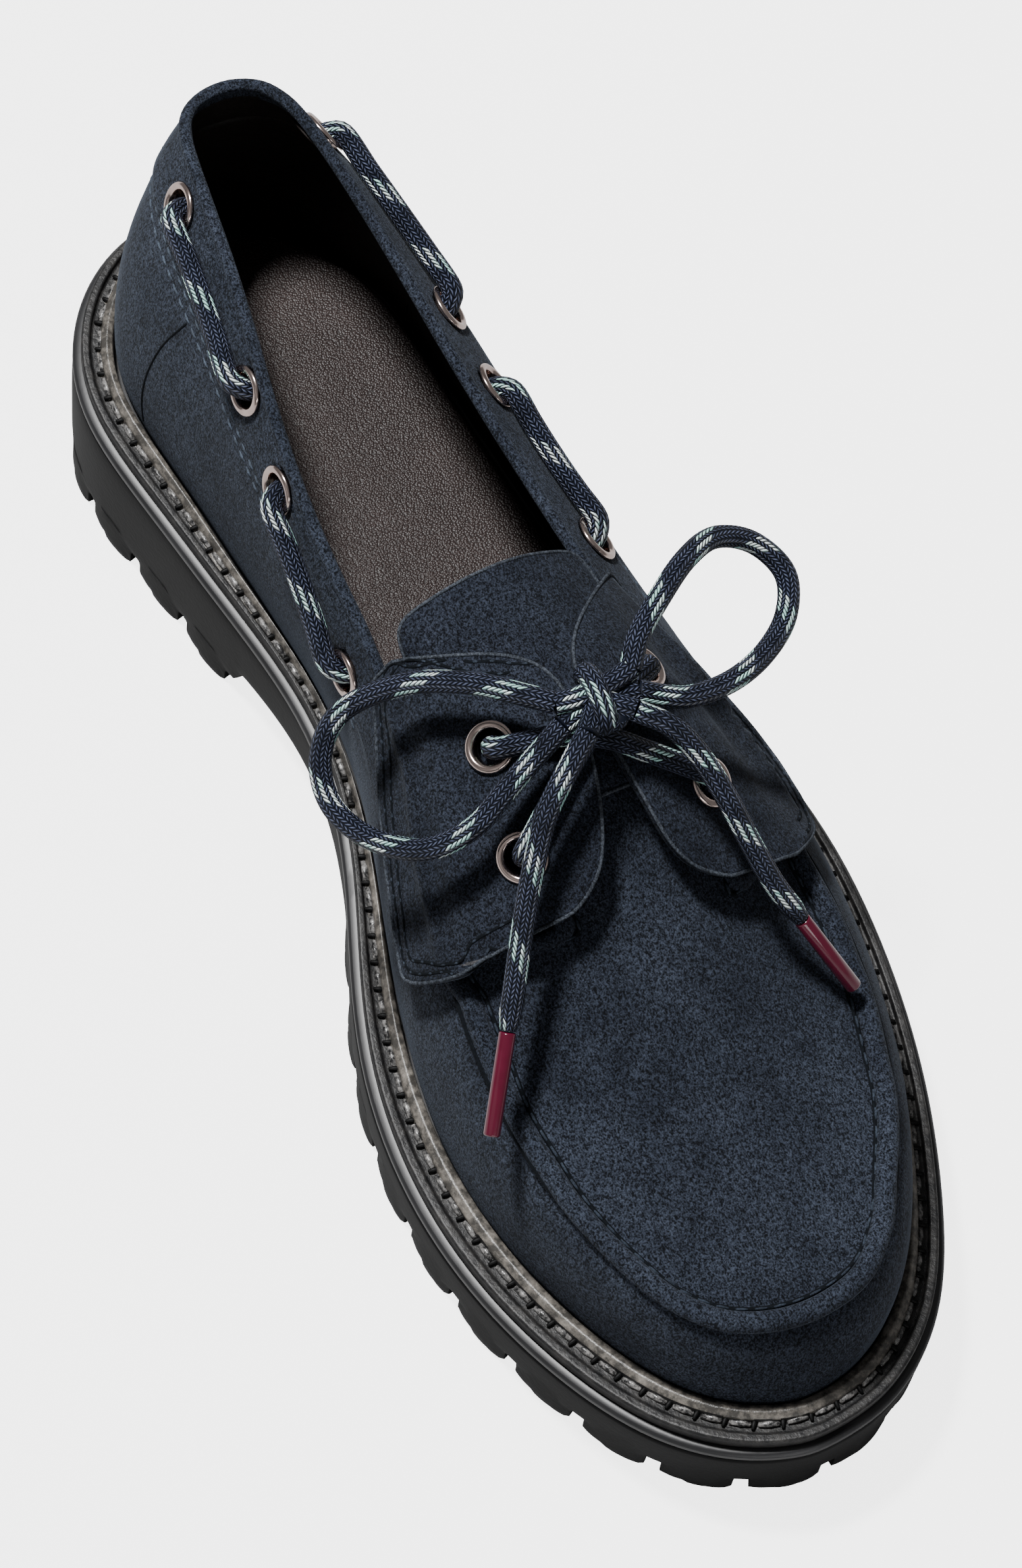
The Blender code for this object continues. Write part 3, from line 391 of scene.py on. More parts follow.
# Near-black cords of painted shade, laid where seams, valleys and folds sink into the suede
seam_shade = finish("seam_shadow", nap, [(0.003, 0.004, 0.0055), (0.006, 0.0075, 0.01), 0.5, 0.3],
                   0.95, 0.3, 0.3, Specular_IOR_Level=0.1)
# Grained leather: base colour, worn colour, cells to the metre, wear
# The lining is dark brown leather, made darker still as painted shade for the inside of the shoe
lining = finish("brown_lining_painted_shade", grain, [(0.008, 0.0055, 0.0045), (0.017, 0.0118, 0.0095), 1300.0, 0.6],
                0.6, 0.2, 0.1, Specular_IOR_Level=0.3)
footbed = finish("pebbled_footbed", grain, [(0.0205, 0.0134, 0.0123), (0.0355, 0.0240, 0.0222), 2300.0, 0.7],
                 0.45, 0.65, 0.2, Specular_IOR_Level=0.4)
# Polished and moulded things: base colour, worn colour, scale of the wear, its amount; on the bead the worn
# colour is partly a painted highlight, and on the waxed thread it is painted glints
welt_black = finish("welt_leather", wear_and_glint, [(0.005, 0.005, 0.0055), (0.035, 0.033, 0.031), 380.0, 0.75],
                    0.48, 0.6, 0.3, Specular_IOR_Level=0.35)
# The bead's pale colour is partly wear and partly a painted highlight
bead_wear_and_highlight = finish("bead_wear_and_painted_highlight", wear_and_glint, [(0.04, 0.037, 0.033), (0.22, 0.20, 0.175), 420.0, 1.0], 0.38, 0.6, 0.3)
edge_black = finish("polished_edge", wear_and_glint, [(0.012, 0.012, 0.013), (0.03, 0.03, 0.032), 60.0, 0.5],
                    0.4, 0.1, 0.1, Specular_IOR_Level=0.4)
rubber = finish("sole_rubber", wear_and_glint, [(0.0022, 0.0022, 0.0024), (0.005, 0.005, 0.0054), 90.0, 0.7],
                0.62, 0.3, 0.2, Specular_IOR_Level=0.15)
metal = finish("rose_nickel", wear_and_glint, [(0.62, 0.50, 0.46), (0.40, 0.31, 0.28), 400.0, 0.6],
               0.18, 0.05, 0.05, Metallic=1.0)
# The waxed thread is black; its pale second colour is painted glints, clouds for the light on the thread
thread_with_painted_glints = finish("black_waxed_thread_painted_glints", wear_and_glint, [(0.012, 0.012, 0.0125), (0.34, 0.33, 0.32), 800.0, 1.0],
                      0.3, 0.6, 0.3)
dark_thread = finish("shadowed_thread", wear_and_glint, [(0.002, 0.002, 0.0022), (0.006, 0.006, 0.006), 600.0, 0.6],
                     0.6, 0.3, 0.2, Specular_IOR_Level=0.2)
burgundy = finish("burgundy_tip", wear_and_glint, [(0.070, 0.0020, 0.0140), (0.105, 0.005, 0.024), 120.0, 0.5],
                  0.22, 0.05, 0.05, Specular_IOR_Level=0.35, Coat_Weight=0.6, Coat_Roughness=0.08)
print("materials:", len(bpy.data.materials))

# %% [markdown]
# The lace is a round braid. Two families of strands wind round it in opposite helices and pass over and under
# each other two at a time. A few neighbouring strands of one family are mint, so a slanting group of pale
# dashes comes round the lace once in each turn. The pattern is drawn from the lace's own map: U is the turn
# round it and V the metres along it.

# %% Braid group and lace material
STRANDS = 16.0  # in each family
TURN = 0.0162  # length of lace in which a strand goes round once
FLOAT = 2.2  # of every four crossings, how many the strands with the pale ones lie on top for

braid, given, result, place = new_group("braid", ("Base", "Light", "Fleck", "Fleck 2"), ("Pale strands",))
where = put(braid, "SeparateXYZ", {0: put(braid, "UVMap", uv_map="lace_map").outputs[0]}).outputs
climb = maths(braid, "DIVIDE", where["Y"], TURN)
one = times(braid, plus(braid, where["X"], climb), STRANDS)
other = times(braid, maths(braid, "SUBTRACT", where["X"], climb), STRANDS)
column = maths(braid, "FLOORED_MODULO", plus(braid, one, other), 4.0)
over = maths(braid, "LESS_THAN", column, FLOAT)


def hump(value, low, high, flat=1.0):
    """A rounded strand that rises and falls between low and high."""
    middle = ramp(braid, value, low, high, -1.0, 1.0)
    return maths(braid, "SUBTRACT", 1.0, times(braid, times(braid, middle, middle), flat))


def family(under, upper):
    """One value where the first family lies on top, and another where the second does."""
    return put(braid, "Mix", {0: over, 2: under, 3: upper}).outputs[0]


ends = family(hump(column, FLOAT, 4.0, 0.8), hump(column, 0.0, FLOAT, 0.8))
sides = family(hump(maths(braid, "FRACT", other), 0.0, 1.0), hump(maths(braid, "FRACT", one), 0.0, 1.0))
rise = times(braid, ends, sides)
number = maths(braid, "FLOORED_MODULO", maths(braid, "FLOOR", one), STRANDS)
pale = times(braid, over, maths(braid, "LESS_THAN", number, given["Pale strands"]))
pale = times(braid, pale, ramp(braid, rise, 0.2, 0.4))
speck = noise(braid, place, 300.0, 2.0)
# Painted highlight and shade: the navy is palest on the tops of the strands and darkest in the gaps between
# them
strand_highlight = times(braid, ramp(braid, rise, 0.35, 0.95), ramp(braid, speck, 0.3, 0.6, 0.3, 1.0))
navy = between(braid, strand_highlight, given["Base"], given["Light"])
mint = between(braid, ramp(braid, speck, 0.42, 0.58), given["Fleck"], given["Fleck 2"])
give(braid, result, Color=between(braid, pale, navy, mint), Height=rise)

lace = finish("navy_lace", braid, [(0.003, 0.0045, 0.010), (0.090, 0.106, 0.172), (0.52, 0.88, 0.83),
                                   (0.90, 1.0, 1.0), 5.0], 0.55, 1.0, 0.8, Specular_IOR_Level=0.2)
print("braid:", len(braid.nodes), "nodes")

# %% [markdown]
# ## Lines on a surface
# Seams and stitches follow the finished leather, so they are found on it: a line starts at a rim, walks a set
# distance over the surface, and keeps the surface's normal at each stop.

# %% Helpers for places and lines
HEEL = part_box("outsole")[0].x
ACROSS = 1.8632  # mm from the middle line of the heel to the middle of the sole's width


def at(station, side, height):
    """A point in metres from millimetres along the sole, across it and up."""
    return Vector((HEEL + station * MM, (side - ACROSS) * MM, height * MM))


def surface(piece):
    """The faces of a piece as a tree, for rays and nearest points."""
    work = bmesh.new()
    work.from_mesh(piece.data)
    tree = BVHTree.FromBMesh(work)
    work.free()
    return tree


def walk(tree, start, heading, distance):
    """The place reached over a surface from start, and the normal there."""
    place, normal = tree.find_nearest(start)[:2]
    steps = max(round(distance / MM), 1)
    for _ in range(steps):
        heading = (heading - normal * heading.dot(normal)).normalized()
        place, normal = tree.find_nearest(place + heading * (distance / steps))[:2]
    return place, normal


def length_of(line):
    return sum((q - p).length for p, q in zip(line, line[1:]))


def evenly(points, spacing):
    """Points at an even spacing along a line of points."""
    steps = [(q - p).length for p, q in zip(points, points[1:])]
    reach = np.concatenate([[0.0], np.cumsum(steps)])
    count = max(round(reach[-1] / spacing), 2)
    stops = np.linspace(0.0, reach[-1], count + 1)
    return [Vector(stop) for stop in np.stack([np.interp(stops, reach, [p[axis] for p in points])
                                               for axis in range(3)], axis=1)]


def smooth_line(points, spacing, closed=False):
    """An even line along a smooth curve through the points."""
    stops = [Vector(p) for p in points]
    if closed:
        stops = [stops[-1]] + stops + stops[:2]
    else:
        stops = [2 * stops[0] - stops[1]] + stops + [2 * stops[-1] - stops[-2]]
    fine = []
    for a, b, c, d in zip(stops, stops[1:], stops[2:], stops[3:]):
        for k in range(16):
            t = k / 16
            fine.append(0.5 * (2 * b + (c - a) * t + (2 * a - 5 * b + 4 * c - d) * t * t
                               + (3 * b - a - 3 * c + d) * t ** 3))
    fine.append(stops[-2])
    line = evenly(fine, spacing)
    return line[:-1] if closed else line


# %% Helpers for picking a face and its rim
def select_smooth_region(piece, seeds, angle=75.0):
    """Opens the piece with the faces selected that run on smoothly from each seed: a ray from one place in
    millimetres towards another."""
    found = [piece.ray_cast(at(*start), (at(*towards) - at(*start)).normalized())[3]
             for start, towards in seeds]
    edit(piece)
    bpy.ops.mesh.select_mode(type="FACE")
    work = bmesh.from_edit_mesh(piece.data)
    work.faces.ensure_lookup_table()
    for index in found:
        work.faces[index].select = True
    bmesh.update_edit_mesh(piece.data)
    bpy.ops.mesh.faces_select_linked_flat(sharpness=math.radians(angle))


def give_selected(piece, slot):
    """Gives the selected faces one of the piece's materials."""
    piece.active_material_index = slot
    bpy.ops.object.material_slot_assign()


def selected_rims(piece):
    """The closed rims of the selected faces, the longest first, as lists of points. Leaves edit mode."""
    bpy.ops.mesh.region_to_loop()
    work = bmesh.from_edit_mesh(piece.data)
    left = dict.fromkeys(edge for edge in work.edges if edge.select)
    chains = []
    while left:
        edge = next(iter(left))
        del left[edge]
        chain = [edge.verts[0], edge.verts[1]]
        while True:
            onward = [e for e in chain[-1].link_edges if e in left]
            if not onward:
                break
            del left[onward[0]]
            chain.append(onward[0].other_vert(chain[-1]))
        chains.append([v.co.copy() for v in chain[:-1]])
    leave()
    return sorted(chains, key=lambda chain: -length_of(chain))


# %% [markdown]
# A stitch is modelled once: a small ball of six sides, drawn out into a capsule whose ends dip, because the
# thread dives into the leather there. A row is that stitch copied along a line. With a few dozen faces each,
# hundreds of stitches stay light.

# %% The stitch, and a row of stitches
bpy.ops.mesh.primitive_uv_sphere_add(segments=6, ring_count=4, radius=0.5)
pattern = bpy.context.active_object
stitch_points = np.array([v.co[:] for v in pattern.data.vertices])
stitch_faces = [list(face.vertices) for face in pattern.data.polygons]
bpy.data.objects.remove(pattern)


def sew(name, line, length, gap, thick, material, slot="suede", sunk=0.25, crown=0.35, lean=0.0):
    """A row of stitches along (point, normal) stops, with lengths in millimetres. sunk is the share of the
    thread under the surface, crown how far the ends dip, and lean turns each stitch."""
    length, gap, thick = length * MM, gap * MM, thick * MM
    points = np.array([stop[0][:] for stop in line])
    normals = np.array([stop[1][:] for stop in line])
    reach = np.concatenate([[0.0], np.cumsum(np.linalg.norm(np.diff(points, axis=0), axis=1))])
    count = int(reach[-1] / (length + gap))
    x, y, z = stitch_points.T
    ends = np.sign(np.round(z, 3)) * (length - thick) / 2
    height = thick * (y + (0.5 - sunk) * 0.6 - crown * np.abs(z) * 2)

    def stop(values, distance):
        return np.array([np.interp(distance, reach, values[:, axis]) for axis in range(3)])

    shape, faces = [], []
    for k in range(count):
        start = reach[-1] * (k + 0.5) / count - length / 2
        normal = stop(normals, start + length / 2)
        normal /= np.linalg.norm(normal)
        along = stop(points, start + length) - stop(points, start)
        along /= np.linalg.norm(along)
        turned = along * math.cos(lean) + np.cross(normal, along) * math.sin(lean)
        place = (stop(points, start + length / 2) + np.outer(z * thick + ends, turned)
                 + np.outer(x * thick, np.cross(normal, turned)) + np.outer(height, normal))
        faces += [[i + len(shape) for i in face] for face in stitch_faces]
        shape += place.tolist()
    row = new_piece(name, shape, faces, material)
    edit(row)
    bpy.ops.mesh.select_all(action="SELECT")
    bpy.ops.mesh.normals_make_consistent(inside=False)
    leave()
    bpy.ops.object.shade_smooth()
    stands_for(row, slot)
    print(f"{name}: {count} stitches")


# %% [markdown]
# ## Tubes
# The laces and the fine seam cords are swept round: a ring of points is carried along the line without
# twisting, and on a closed line the little turn that is left over is spread out. The map on a tube gives the
# turn round it and the metres along it, which is what the braid needs.

# %% Tube
def tube(name, line, thick, material, sides=20, closed=False, narrow_end=1.0):
    """A round tube along a line of points. narrow_end is the last ring's share of the thickness."""
    count = len(line)
    travelled = [0.0]
    for p, q in zip(line, line[1:] + line[:1]):
        travelled.append(travelled[-1] + (q - p).length)
    points, faces, turns, frames = [], [], [], []
    across = None
    for k in range(count + 1 if closed else count):
        ahead = line[(k + 1) % count] if closed else line[min(k + 1, count - 1)]
        behind = line[(k - 1) % count] if closed else line[max(k - 1, 0)]
        forward = (ahead - behind).normalized()
        across = forward.orthogonal() if across is None else across
        across = (across - forward * across.dot(forward)).normalized()
        frames.append((across, forward.cross(across)))
    (first, beside), last = frames[0], frames[-1][0]
    slip = math.atan2(last.dot(beside), last.dot(first)) if closed else 0.0
    for k, centre in enumerate(line):
        across, other = frames[k]
        left = travelled[count - 1] - travelled[k]
        share = 1.0 - (1.0 - narrow_end) * max(0.0, 1.0 - left / 0.003)
        for i in range(sides):
            angle = 2 * math.pi * i / sides - slip * k / count
            points.append(centre + (across * math.cos(angle) + other * math.sin(angle)) * thick / 2 * share)
    for k in range(count if closed else count - 1):
        low, high = k * sides, (k + 1) % count * sides
        for i in range(sides):
            j = (i + 1) % sides
            faces.append([low + i, low + j, high + j, high + i])
            turns += [(i / sides, travelled[k]), ((i + 1) / sides, travelled[k]),
                      ((i + 1) / sides, travelled[k + 1]), (i / sides, travelled[k + 1])]
    if not closed:
        faces += [list(range(sides))[::-1], [(count - 1) * sides + i for i in range(sides)]]
        turns += [(0.5, 0.0)] * sides + [(0.5, travelled[count - 1])] * sides
    piece = new_piece(name, points, faces, material)
    piece.data.uv_layers.new(name="lace_map").data.foreach_set("uv", [c for turn in turns for c in turn])
    only(piece)
    bpy.ops.object.shade_smooth()
    return piece


def seam(name, line, thick, material, sides=8, closed=False):
    """A fine tube laid along the suede."""
    stands_for(tube(name, line, thick, material, sides, closed), "suede")


# %% [markdown]
# ## Creases
# Leather keeps the folds of its making and of the first steps. Each is a soft ridge or trough along a short
# line listed in the shoe's own sizes, and it fades out to nothing at its ends.

# %% Press a fold
def press(piece, stops, height, width):
    """Lifts the surface along a line of stops; height and width are in millimetres, a trough is negative."""
    points = np.empty(len(piece.data.vertices) * 3)
    piece.data.vertices.foreach_get("co", points)
    points = points.reshape(-1, 3)
    skin = surface(piece)
    line = np.array([p[:] for p in smooth_line([skin.find_nearest(stop)[0] for stop in stops], 0.0015)])
    outward = np.array([skin.find_nearest(Vector(p))[1][:] for p in line])
    near = np.linalg.norm(points[:, None, :] - line[None, :, :], axis=2)
    closest = near.argmin(axis=1)
    fade = np.sin(math.pi * np.clip(closest / (len(line) - 1), 0.02, 0.98)) ** 0.6
    lift = height * MM * fade * np.exp(-(near.min(axis=1) / (width * MM)) ** 2)
    points += outward[closest] * lift[:, None]
    piece.data.vertices.foreach_set("co", points.ravel())
    piece.data.update()


# %% [markdown]
# ## Upper
# The upper is one wall of suede round the foot, with a thin leather lining. Subdividing the copy of its solid
# rounds the collar's rim and the raised seam of the apron. Where the cuff steps up and at the foot of the
# apron's seam the edges are creased first, so they stay crisp, and the holes for the eyelets keep their round.

# %% The eyelets' places
def eyelet_place(node):
    """The middle of an eyelet and its outward axis, read from its solid."""
    points = np.unique(np.round([v.co[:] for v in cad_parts[node].data.vertices], 6), axis=0)
    centre = points.mean(axis=0)
    axis = np.linalg.svd(points - centre)[2][2]
    heights = (points - centre) @ axis
    spread = np.linalg.norm(points - centre - np.outer(heights, axis), axis=1)
    if heights[spread > spread.max() - 0.0006].mean() < 0:  # the flange, its widest part, lies outside
        axis = -axis
    return Vector(centre), Vector(axis)


eyelets = {node: eyelet_place(node) for node in sorted(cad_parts) if "_eyelet_" in node}
print("eyelets:", {node: [round(c / MM, 1) for c in place] for node, (place, axis) in eyelets.items()})

# %% The suede shell and its lining
# Rays that meet the faces inside and outside, each from one place towards another
INSIDE = [((60, 0, 60), (60, 90, 60)), ((60, 0, 60), (60, -90, 60)), ((60, 0, 60), (-60, 0, 60)),
          ((215, 0, 30), (215, 0, 90)), ((215, 0, 30), (275, 0, 32)), ((200, 0, 30), (200, 60, 30)),
          ((200, 0, 30), (200, -60, 30)), ((165, 0, 30), (165, 0, 90))]
OUTSIDE = [((60, 120, 50), (60, 0, 50)), ((60, -120, 50), (60, 0, 50)), ((215, 0, 150), (215, 0, 30)),
           ((165, 0, 150), (165, 0, 30)), ((330, 0, 30), (250, 0, 30)), ((-60, 0, 50), (20, 0, 50))]

upper = clean_copy("upper", "suede_upper", suede, lining)
select_smooth_region(upper, INSIDE)
give_selected(upper, 1)
leave()
lined = [face for face in upper.data.polygons if face.material_index]
print("faces of lining:", len(lined), "of", len(upper.data.polygons))
select_smooth_region(upper, OUTSIDE)
foot_rim, collar_rim = selected_rims(upper)[:2]
print("rims of the outer face, mm:", round(length_of(foot_rim) / MM), round(length_of(collar_rim) / MM))
HOLE_REACH, WALL_REACH = 0.0047, 0.004  # from an eyelet's middle, across and along its axis


def crisp_where_folded(edge):
    """Full for the rims of the eyelets' holes, and strong along the cuff's step and the apron's seam."""
    middle = (edge.verts[0].co + edge.verts[1].co) / 2
    for place, axis in eyelets.values():
        height = (middle - place).dot(axis)
        if abs(height) < WALL_REACH and (middle - place - axis * height).length < HOLE_REACH:
            return 1.0
    return 0.65 if math.radians(33) < edge.calc_face_angle(0.0) < math.radians(70) else 0.0


subdivide(upper, crisp_where_folded)

# %% [markdown]
# Suede is never quite flat. A slow, shallow wave is laid over the shell along its own normals, a third of a
# millimetre at most, and the strip next to the rim turns over to the inside, so it keeps its suede.

# %% Waves in the leather, and the turned-over rim
def ripple(piece, size, detail, height):
    """Soft cloudy waves over a piece; size and height are in metres."""
    wave = bpy.data.textures.new("ripple", "CLOUDS")
    wave.noise_scale, wave.noise_depth = size, detail
    change(piece, "DISPLACE", texture=wave, texture_coords="LOCAL", strength=height, mid_level=0.5)


def repaint(piece, old, new, chosen):
    """Gives the faces of one material another one where chosen(face) says so."""
    faces = [face for face in piece.data.polygons if face.material_index == old and chosen(face)]
    for face in faces:
        face.material_index = new
    print(f"{piece.name}: {len(faces)} faces repainted")


def distance_to(line, place):
    """The distance from a place to the nearest point of a line."""
    return np.linalg.norm(line - np.array(place[:]), axis=1).min()


ripple(upper, 0.03, 2, 0.0007)
rim_line = smooth_line(collar_rim, 0.002, closed=True)
rim_array = np.array([p[:] for p in rim_line])
TURNED_OVER = 0.0042  # how far the suede reaches over the rim
repaint(upper, 1, 0, lambda face: distance_to(rim_array, face.center) < TURNED_OVER)
stands_for(upper, "suede", "upper")
leather = surface(upper)

# %% [markdown]
# ## Seams of the upper
# The cuff is a band sewn on with two rows of stitches just above its lower edge. The heel has a counter whose
# edge shows as a fine curved seam on each side. The apron's raised seam has one row of stitches inside it.

# %% The cuff's stitches
THROAT = at(133, 0, 0).x


def on(tree, line):
    """A line laid on a surface, as (point, normal) stops."""
    return [tree.find_nearest(p)[:2] for p in line]


def places(stops):
    return [stop[0] for stop in stops]


def just_under(stops):
    return [place - normal * 0.0001 for place, normal in stops]


def down_the_side(before, here, after, depth):
    """The place a set distance down the outer side from a stop on the rim, met by level rays."""
    outward = (after - before).normalized().cross(UP).normalized()
    if outward.dot(here - at(60, 0, here.z / MM)) < 0:
        outward = -outward
    last, gone, step = None, 0.0, 0.0006
    for drop in np.arange(0.0015, 0.04, step):
        hit = leather.ray_cast(here + outward * 0.03 - UP * drop, -outward)[0]
        if hit is None or (last is not None and (hit - last).length > 0.0022):  # through an eyelet's hole
            gone += step
            continue
        gone += (hit - (here if last is None else last)).length
        last = hit
        if gone >= depth:
            return hit
    return None


first = max(range(len(rim_line)), key=lambda i: rim_line[i].x)
ring = rim_line[first:] + rim_line[:first]
for number, depth in enumerate((0.0170, 0.0194), 1):
    stops = [down_the_side(a, b, c, depth) for a, b, c in zip(ring, ring[1:], ring[2:]) if b.x < THROAT]
    path = smooth_line([stop for stop in stops if stop is not None][::2], 0.002)
    sew(f"cuff_stitches_{number}", on(leather, path), 2.3, 0.9, 0.55, thread, sunk=0.2)

path = smooth_line([p - UP * MM for p in rim_line[::3]], 0.0015, closed=True)
seam("collar_edge", path, 0.0025, suede, sides=16, closed=True)

# %% The counter's seam on each side
# A line from under the cuff down to the welt: along the sole, across it and up, in millimetres
COUNTER = [(47, -23, 78), (44, -26.5, 68), (42.5, -28.5, 58), (42, -29.5, 48), (42.5, -29, 39)]
for name, mirror in (("medial", 1), ("lateral", -1)):
    stops = on(leather, [at(s, y * mirror, z) for s, y, z in COUNTER])
    path = places(on(leather, smooth_line(just_under(stops), 0.0015)))
    seam(f"counter_seam_{name}", path, 0.00045, seam_shade)

# %% The apron's stitches
# From outside in, the surface climbs to the crest of the raised seam and then falls into the valley behind it
LOWEST_CREST = 0.035  # a crest under this height isn't the apron's
centre = at(205, 4, 0)
stops = []
for degrees in range(-150, 151, 3):
    way = Vector((math.cos(math.radians(degrees)), math.sin(math.radians(degrees)), 0.0))
    crest = None
    for reach in np.arange(0.078, 0.01, -0.0004):
        hit = leather.ray_cast(centre + way * reach + UP * 0.2, -UP)[0]
        if hit and crest and crest.z > LOWEST_CREST and hit.z < crest.z - 0.00003:
            valley = leather.ray_cast(crest - way * 0.0027 + UP * 0.05, -UP)[0]
            stops.append((crest, valley, (crest - valley) * Vector((1.0, 1.0, 0.0))))
            break
        crest = hit or crest
print("apron seam stops:", len(stops), "mm:", round(length_of(places(stops)) / MM))
stops = stops[::3]
path = smooth_line([crest - UP * 0.0008 for crest, valley, away in stops], 0.0012)
seam("apron_roll", path, 0.0041, suede, sides=16)
# Near-black cords of painted shade lie in the valley behind the roll and under its outer fold
path = on(leather, smooth_line([valley for crest, valley, away in stops], 0.0012))
seam("apron_valley", just_under(path), 0.0010, seam_shade)
raised = [(place + normal * 0.0003, normal) for place, normal in path]
sew("apron_stitches", raised, 2.4, 1.1, 0.6, dull_thread, sunk=0.2)
path = on(leather, [crest + away.normalized() * 0.0024 - UP * 0.0015 for crest, valley, away in stops])
seam("apron_fold", places(on(leather, smooth_line(places(path), 0.0012))), 0.0011, seam_shade)

# %% [markdown]
# ## Flaps and tongue
# The two flaps carry the front eyelets and the tongue lies under them. All three are cut from thick suede, so
# their cut edges show the paler inside of the hide. Each copy keeps its rim creased while it is subdivided,
# and a broad shallow wave makes it lie like leather.

# %% Sheets of suede
def without_spurs(rim):
    """A closed rim without the short runs that leave it and come straight back."""
    line = evenly(rim + rim[:1], 0.001)[:-1]
    kept, k = [], 0
    while k < len(line):
        kept.append(line[k])
        back = [j for j in range(k + 6, min(k + 26, len(line))) if (line[j] - line[k]).length < 0.0016]
        k = back[-1] if back else k + 1
    return kept


CUT_EDGE = 0.0021  # how far from the rim the paler inside of the hide shows


def sheet_of_suede(node, name, middle, waviness, folds=()):
    """A finished copy of a flap or the tongue, and the rim of its top face. middle is a place on that face,
    in millimetres."""
    piece = clean_copy(node, name, flap_suede, suede_edge)
    above, below = (*middle[:2], middle[2] + 60), (*middle[:2], middle[2] - 12)
    select_smooth_region(piece, [(above, middle), (below, middle)], 55.0)
    bpy.ops.mesh.select_all(action="INVERT")
    give_selected(piece, 1)
    leave()
    select_smooth_region(piece, [(above, middle)], 55.0)
    rim = without_spurs(selected_rims(piece)[0])
    rim_points = np.array([p[:] for p in rim])
    subdivide(piece, sharper_than(55, 0.8))
    repaint(piece, 1, 0, lambda face: distance_to(rim_points, face.center) > CUT_EDGE)
    ripple(piece, 0.022, 1, waviness)
    for stops, height, width in folds:
        press(piece, stops, height, width)
    stands_for(piece, "suede", node)
    line = places(on(surface(piece), smooth_line(rim[::2], 0.0015, closed=True)))
    seam(f"{name}_raw_edge", smooth_line(line, 0.0015, closed=True), 0.0007, pale_suede, closed=True)
    return piece, rim


def with_neighbours(line):
    """Each stop of a closed line, between the one before and the one after."""
    return zip(line[-1:] + line, line, line[1:] + line[:1])


def edge_stitches(name, piece, rim, inset, keep):
    """A row of stitches a set distance inside a sheet's rim, beside the places that keep() accepts."""
    face = surface(piece)
    line = smooth_line(rim[::2], 0.0015, closed=True)
    middle = sum(line, Vector()) / len(line)
    stops = []
    for before, here, after in with_neighbours(line):
        inward = (after - before).cross(face.find_nearest(here + UP * 0.002)[1])
        if inward.dot(middle - here) < 0:
            inward = -inward
        stops.append((here, walk(face, here + UP * MM, inward.normalized(), inset)[0]))
    first = next((i for i, stop in enumerate(stops) if not keep(stop[0])), 0)
    row = []  # its stops keep apart, and it never turns back
    for here, place in stops[first:] + stops[:first]:
        if keep(here) and (not row or (place - row[-1]).length > 0.0009):
            if len(row) < 2 or (place - row[-1]).dot(row[-1] - row[-2]) > 0:
                row.append(place)
    path = on(face, smooth_line(row[::2], 0.0012))
    seam(f"{name}_seam", just_under(path), 0.0007, seam_shade)
    sew(name, path, 2.3, 0.8, 0.55, dull_thread, sunk=0.3)


# %% The flaps and the tongue
# Each flap has a fold where it bends down to the side. Its stitches follow its outer edge between rear and
# front, and on the medial flap they also go round its rear.
FOLD = ((135, 27, 81.5), (143, 29, 80), (151, 30.5, 78.7), (161.5, 33, 73), (175, 36.5, 68.2), (182, 38, 66.5))
rear, front = at(138, 0, 0).x, at(189, 0, 0).x
for side, sign, around_rear in (("medial", -1, at(150, 0, 0).x), ("lateral", 1, HEEL)):
    ridge = [at(s, sign * y, z) for s, y, z in FOLD]
    dip = [at(s + 1, sign * (y - 6), z + 5) for s, y, z in FOLD]
    flap, rim = sheet_of_suede(f"flap_{side}", f"suede_flap_{side}", (166, sign * 22, 84), 0.0008,
                               [(ridge, 1.8, 1.9), (dip, -1.3, 4.0)])
    inner = abs(at(0, sign * 24, 0).y)
    for number, inset in enumerate((0.0014, 0.0038), 1):
        edge_stitches(f"flap_stitches_{side}_{number}", flap, rim, inset,
                      lambda p: p.x < around_rear or (abs(p.y) > inner and rear < p.x < front))
sheet_of_suede("tongue", "suede_tongue", (150, 0, 96), 0.0007)

# %% [markdown]
# ## Footbed
# The footbed is a sheet of pebbled leather over a thin foam. Its solid is already the right shape, so the copy
# only gets a rounded rim and the pebble grain. It is left without lettering.

# %% Footbed
insole = clean_copy("insole", "leather_footbed", footbed)
bevel(insole, 0.6, 3, 35, 40)
stands_for(insole, "insole_leather", "insole")

# %% [markdown]
# ## Welt
# The welt is a strip of leather stitched down round the shoe: a flat band outside, a groove with heavy waxed
# stitches, and a bead that hides the joint with the upper. The bead's upward faces are pale, partly from wear
# and partly as a painted highlight. The welt's sharp corners are creased before it is subdivided, and the
# groove's floor is found by measuring down into it.

# %% Welt
BEAD = 0.0034  # how far out from the upper the worn bead reaches
welt = clean_copy("welt", "stitched_welt", welt_black, bead_wear_and_highlight)
subdivide(welt, sharper_than(32, 0.75))
foot_array = np.array([p[:2] for p in smooth_line(foot_rim, 0.002, closed=True)])
# The pale finish goes on the bead's upward faces: wear, and a painted highlight where light falls on top
repaint(welt, 0, 1, lambda face: face.normal.z > 0.1 and distance_to(foot_array, face.center[:2]) < BEAD)
stands_for(welt, "welt_leather", "welt")

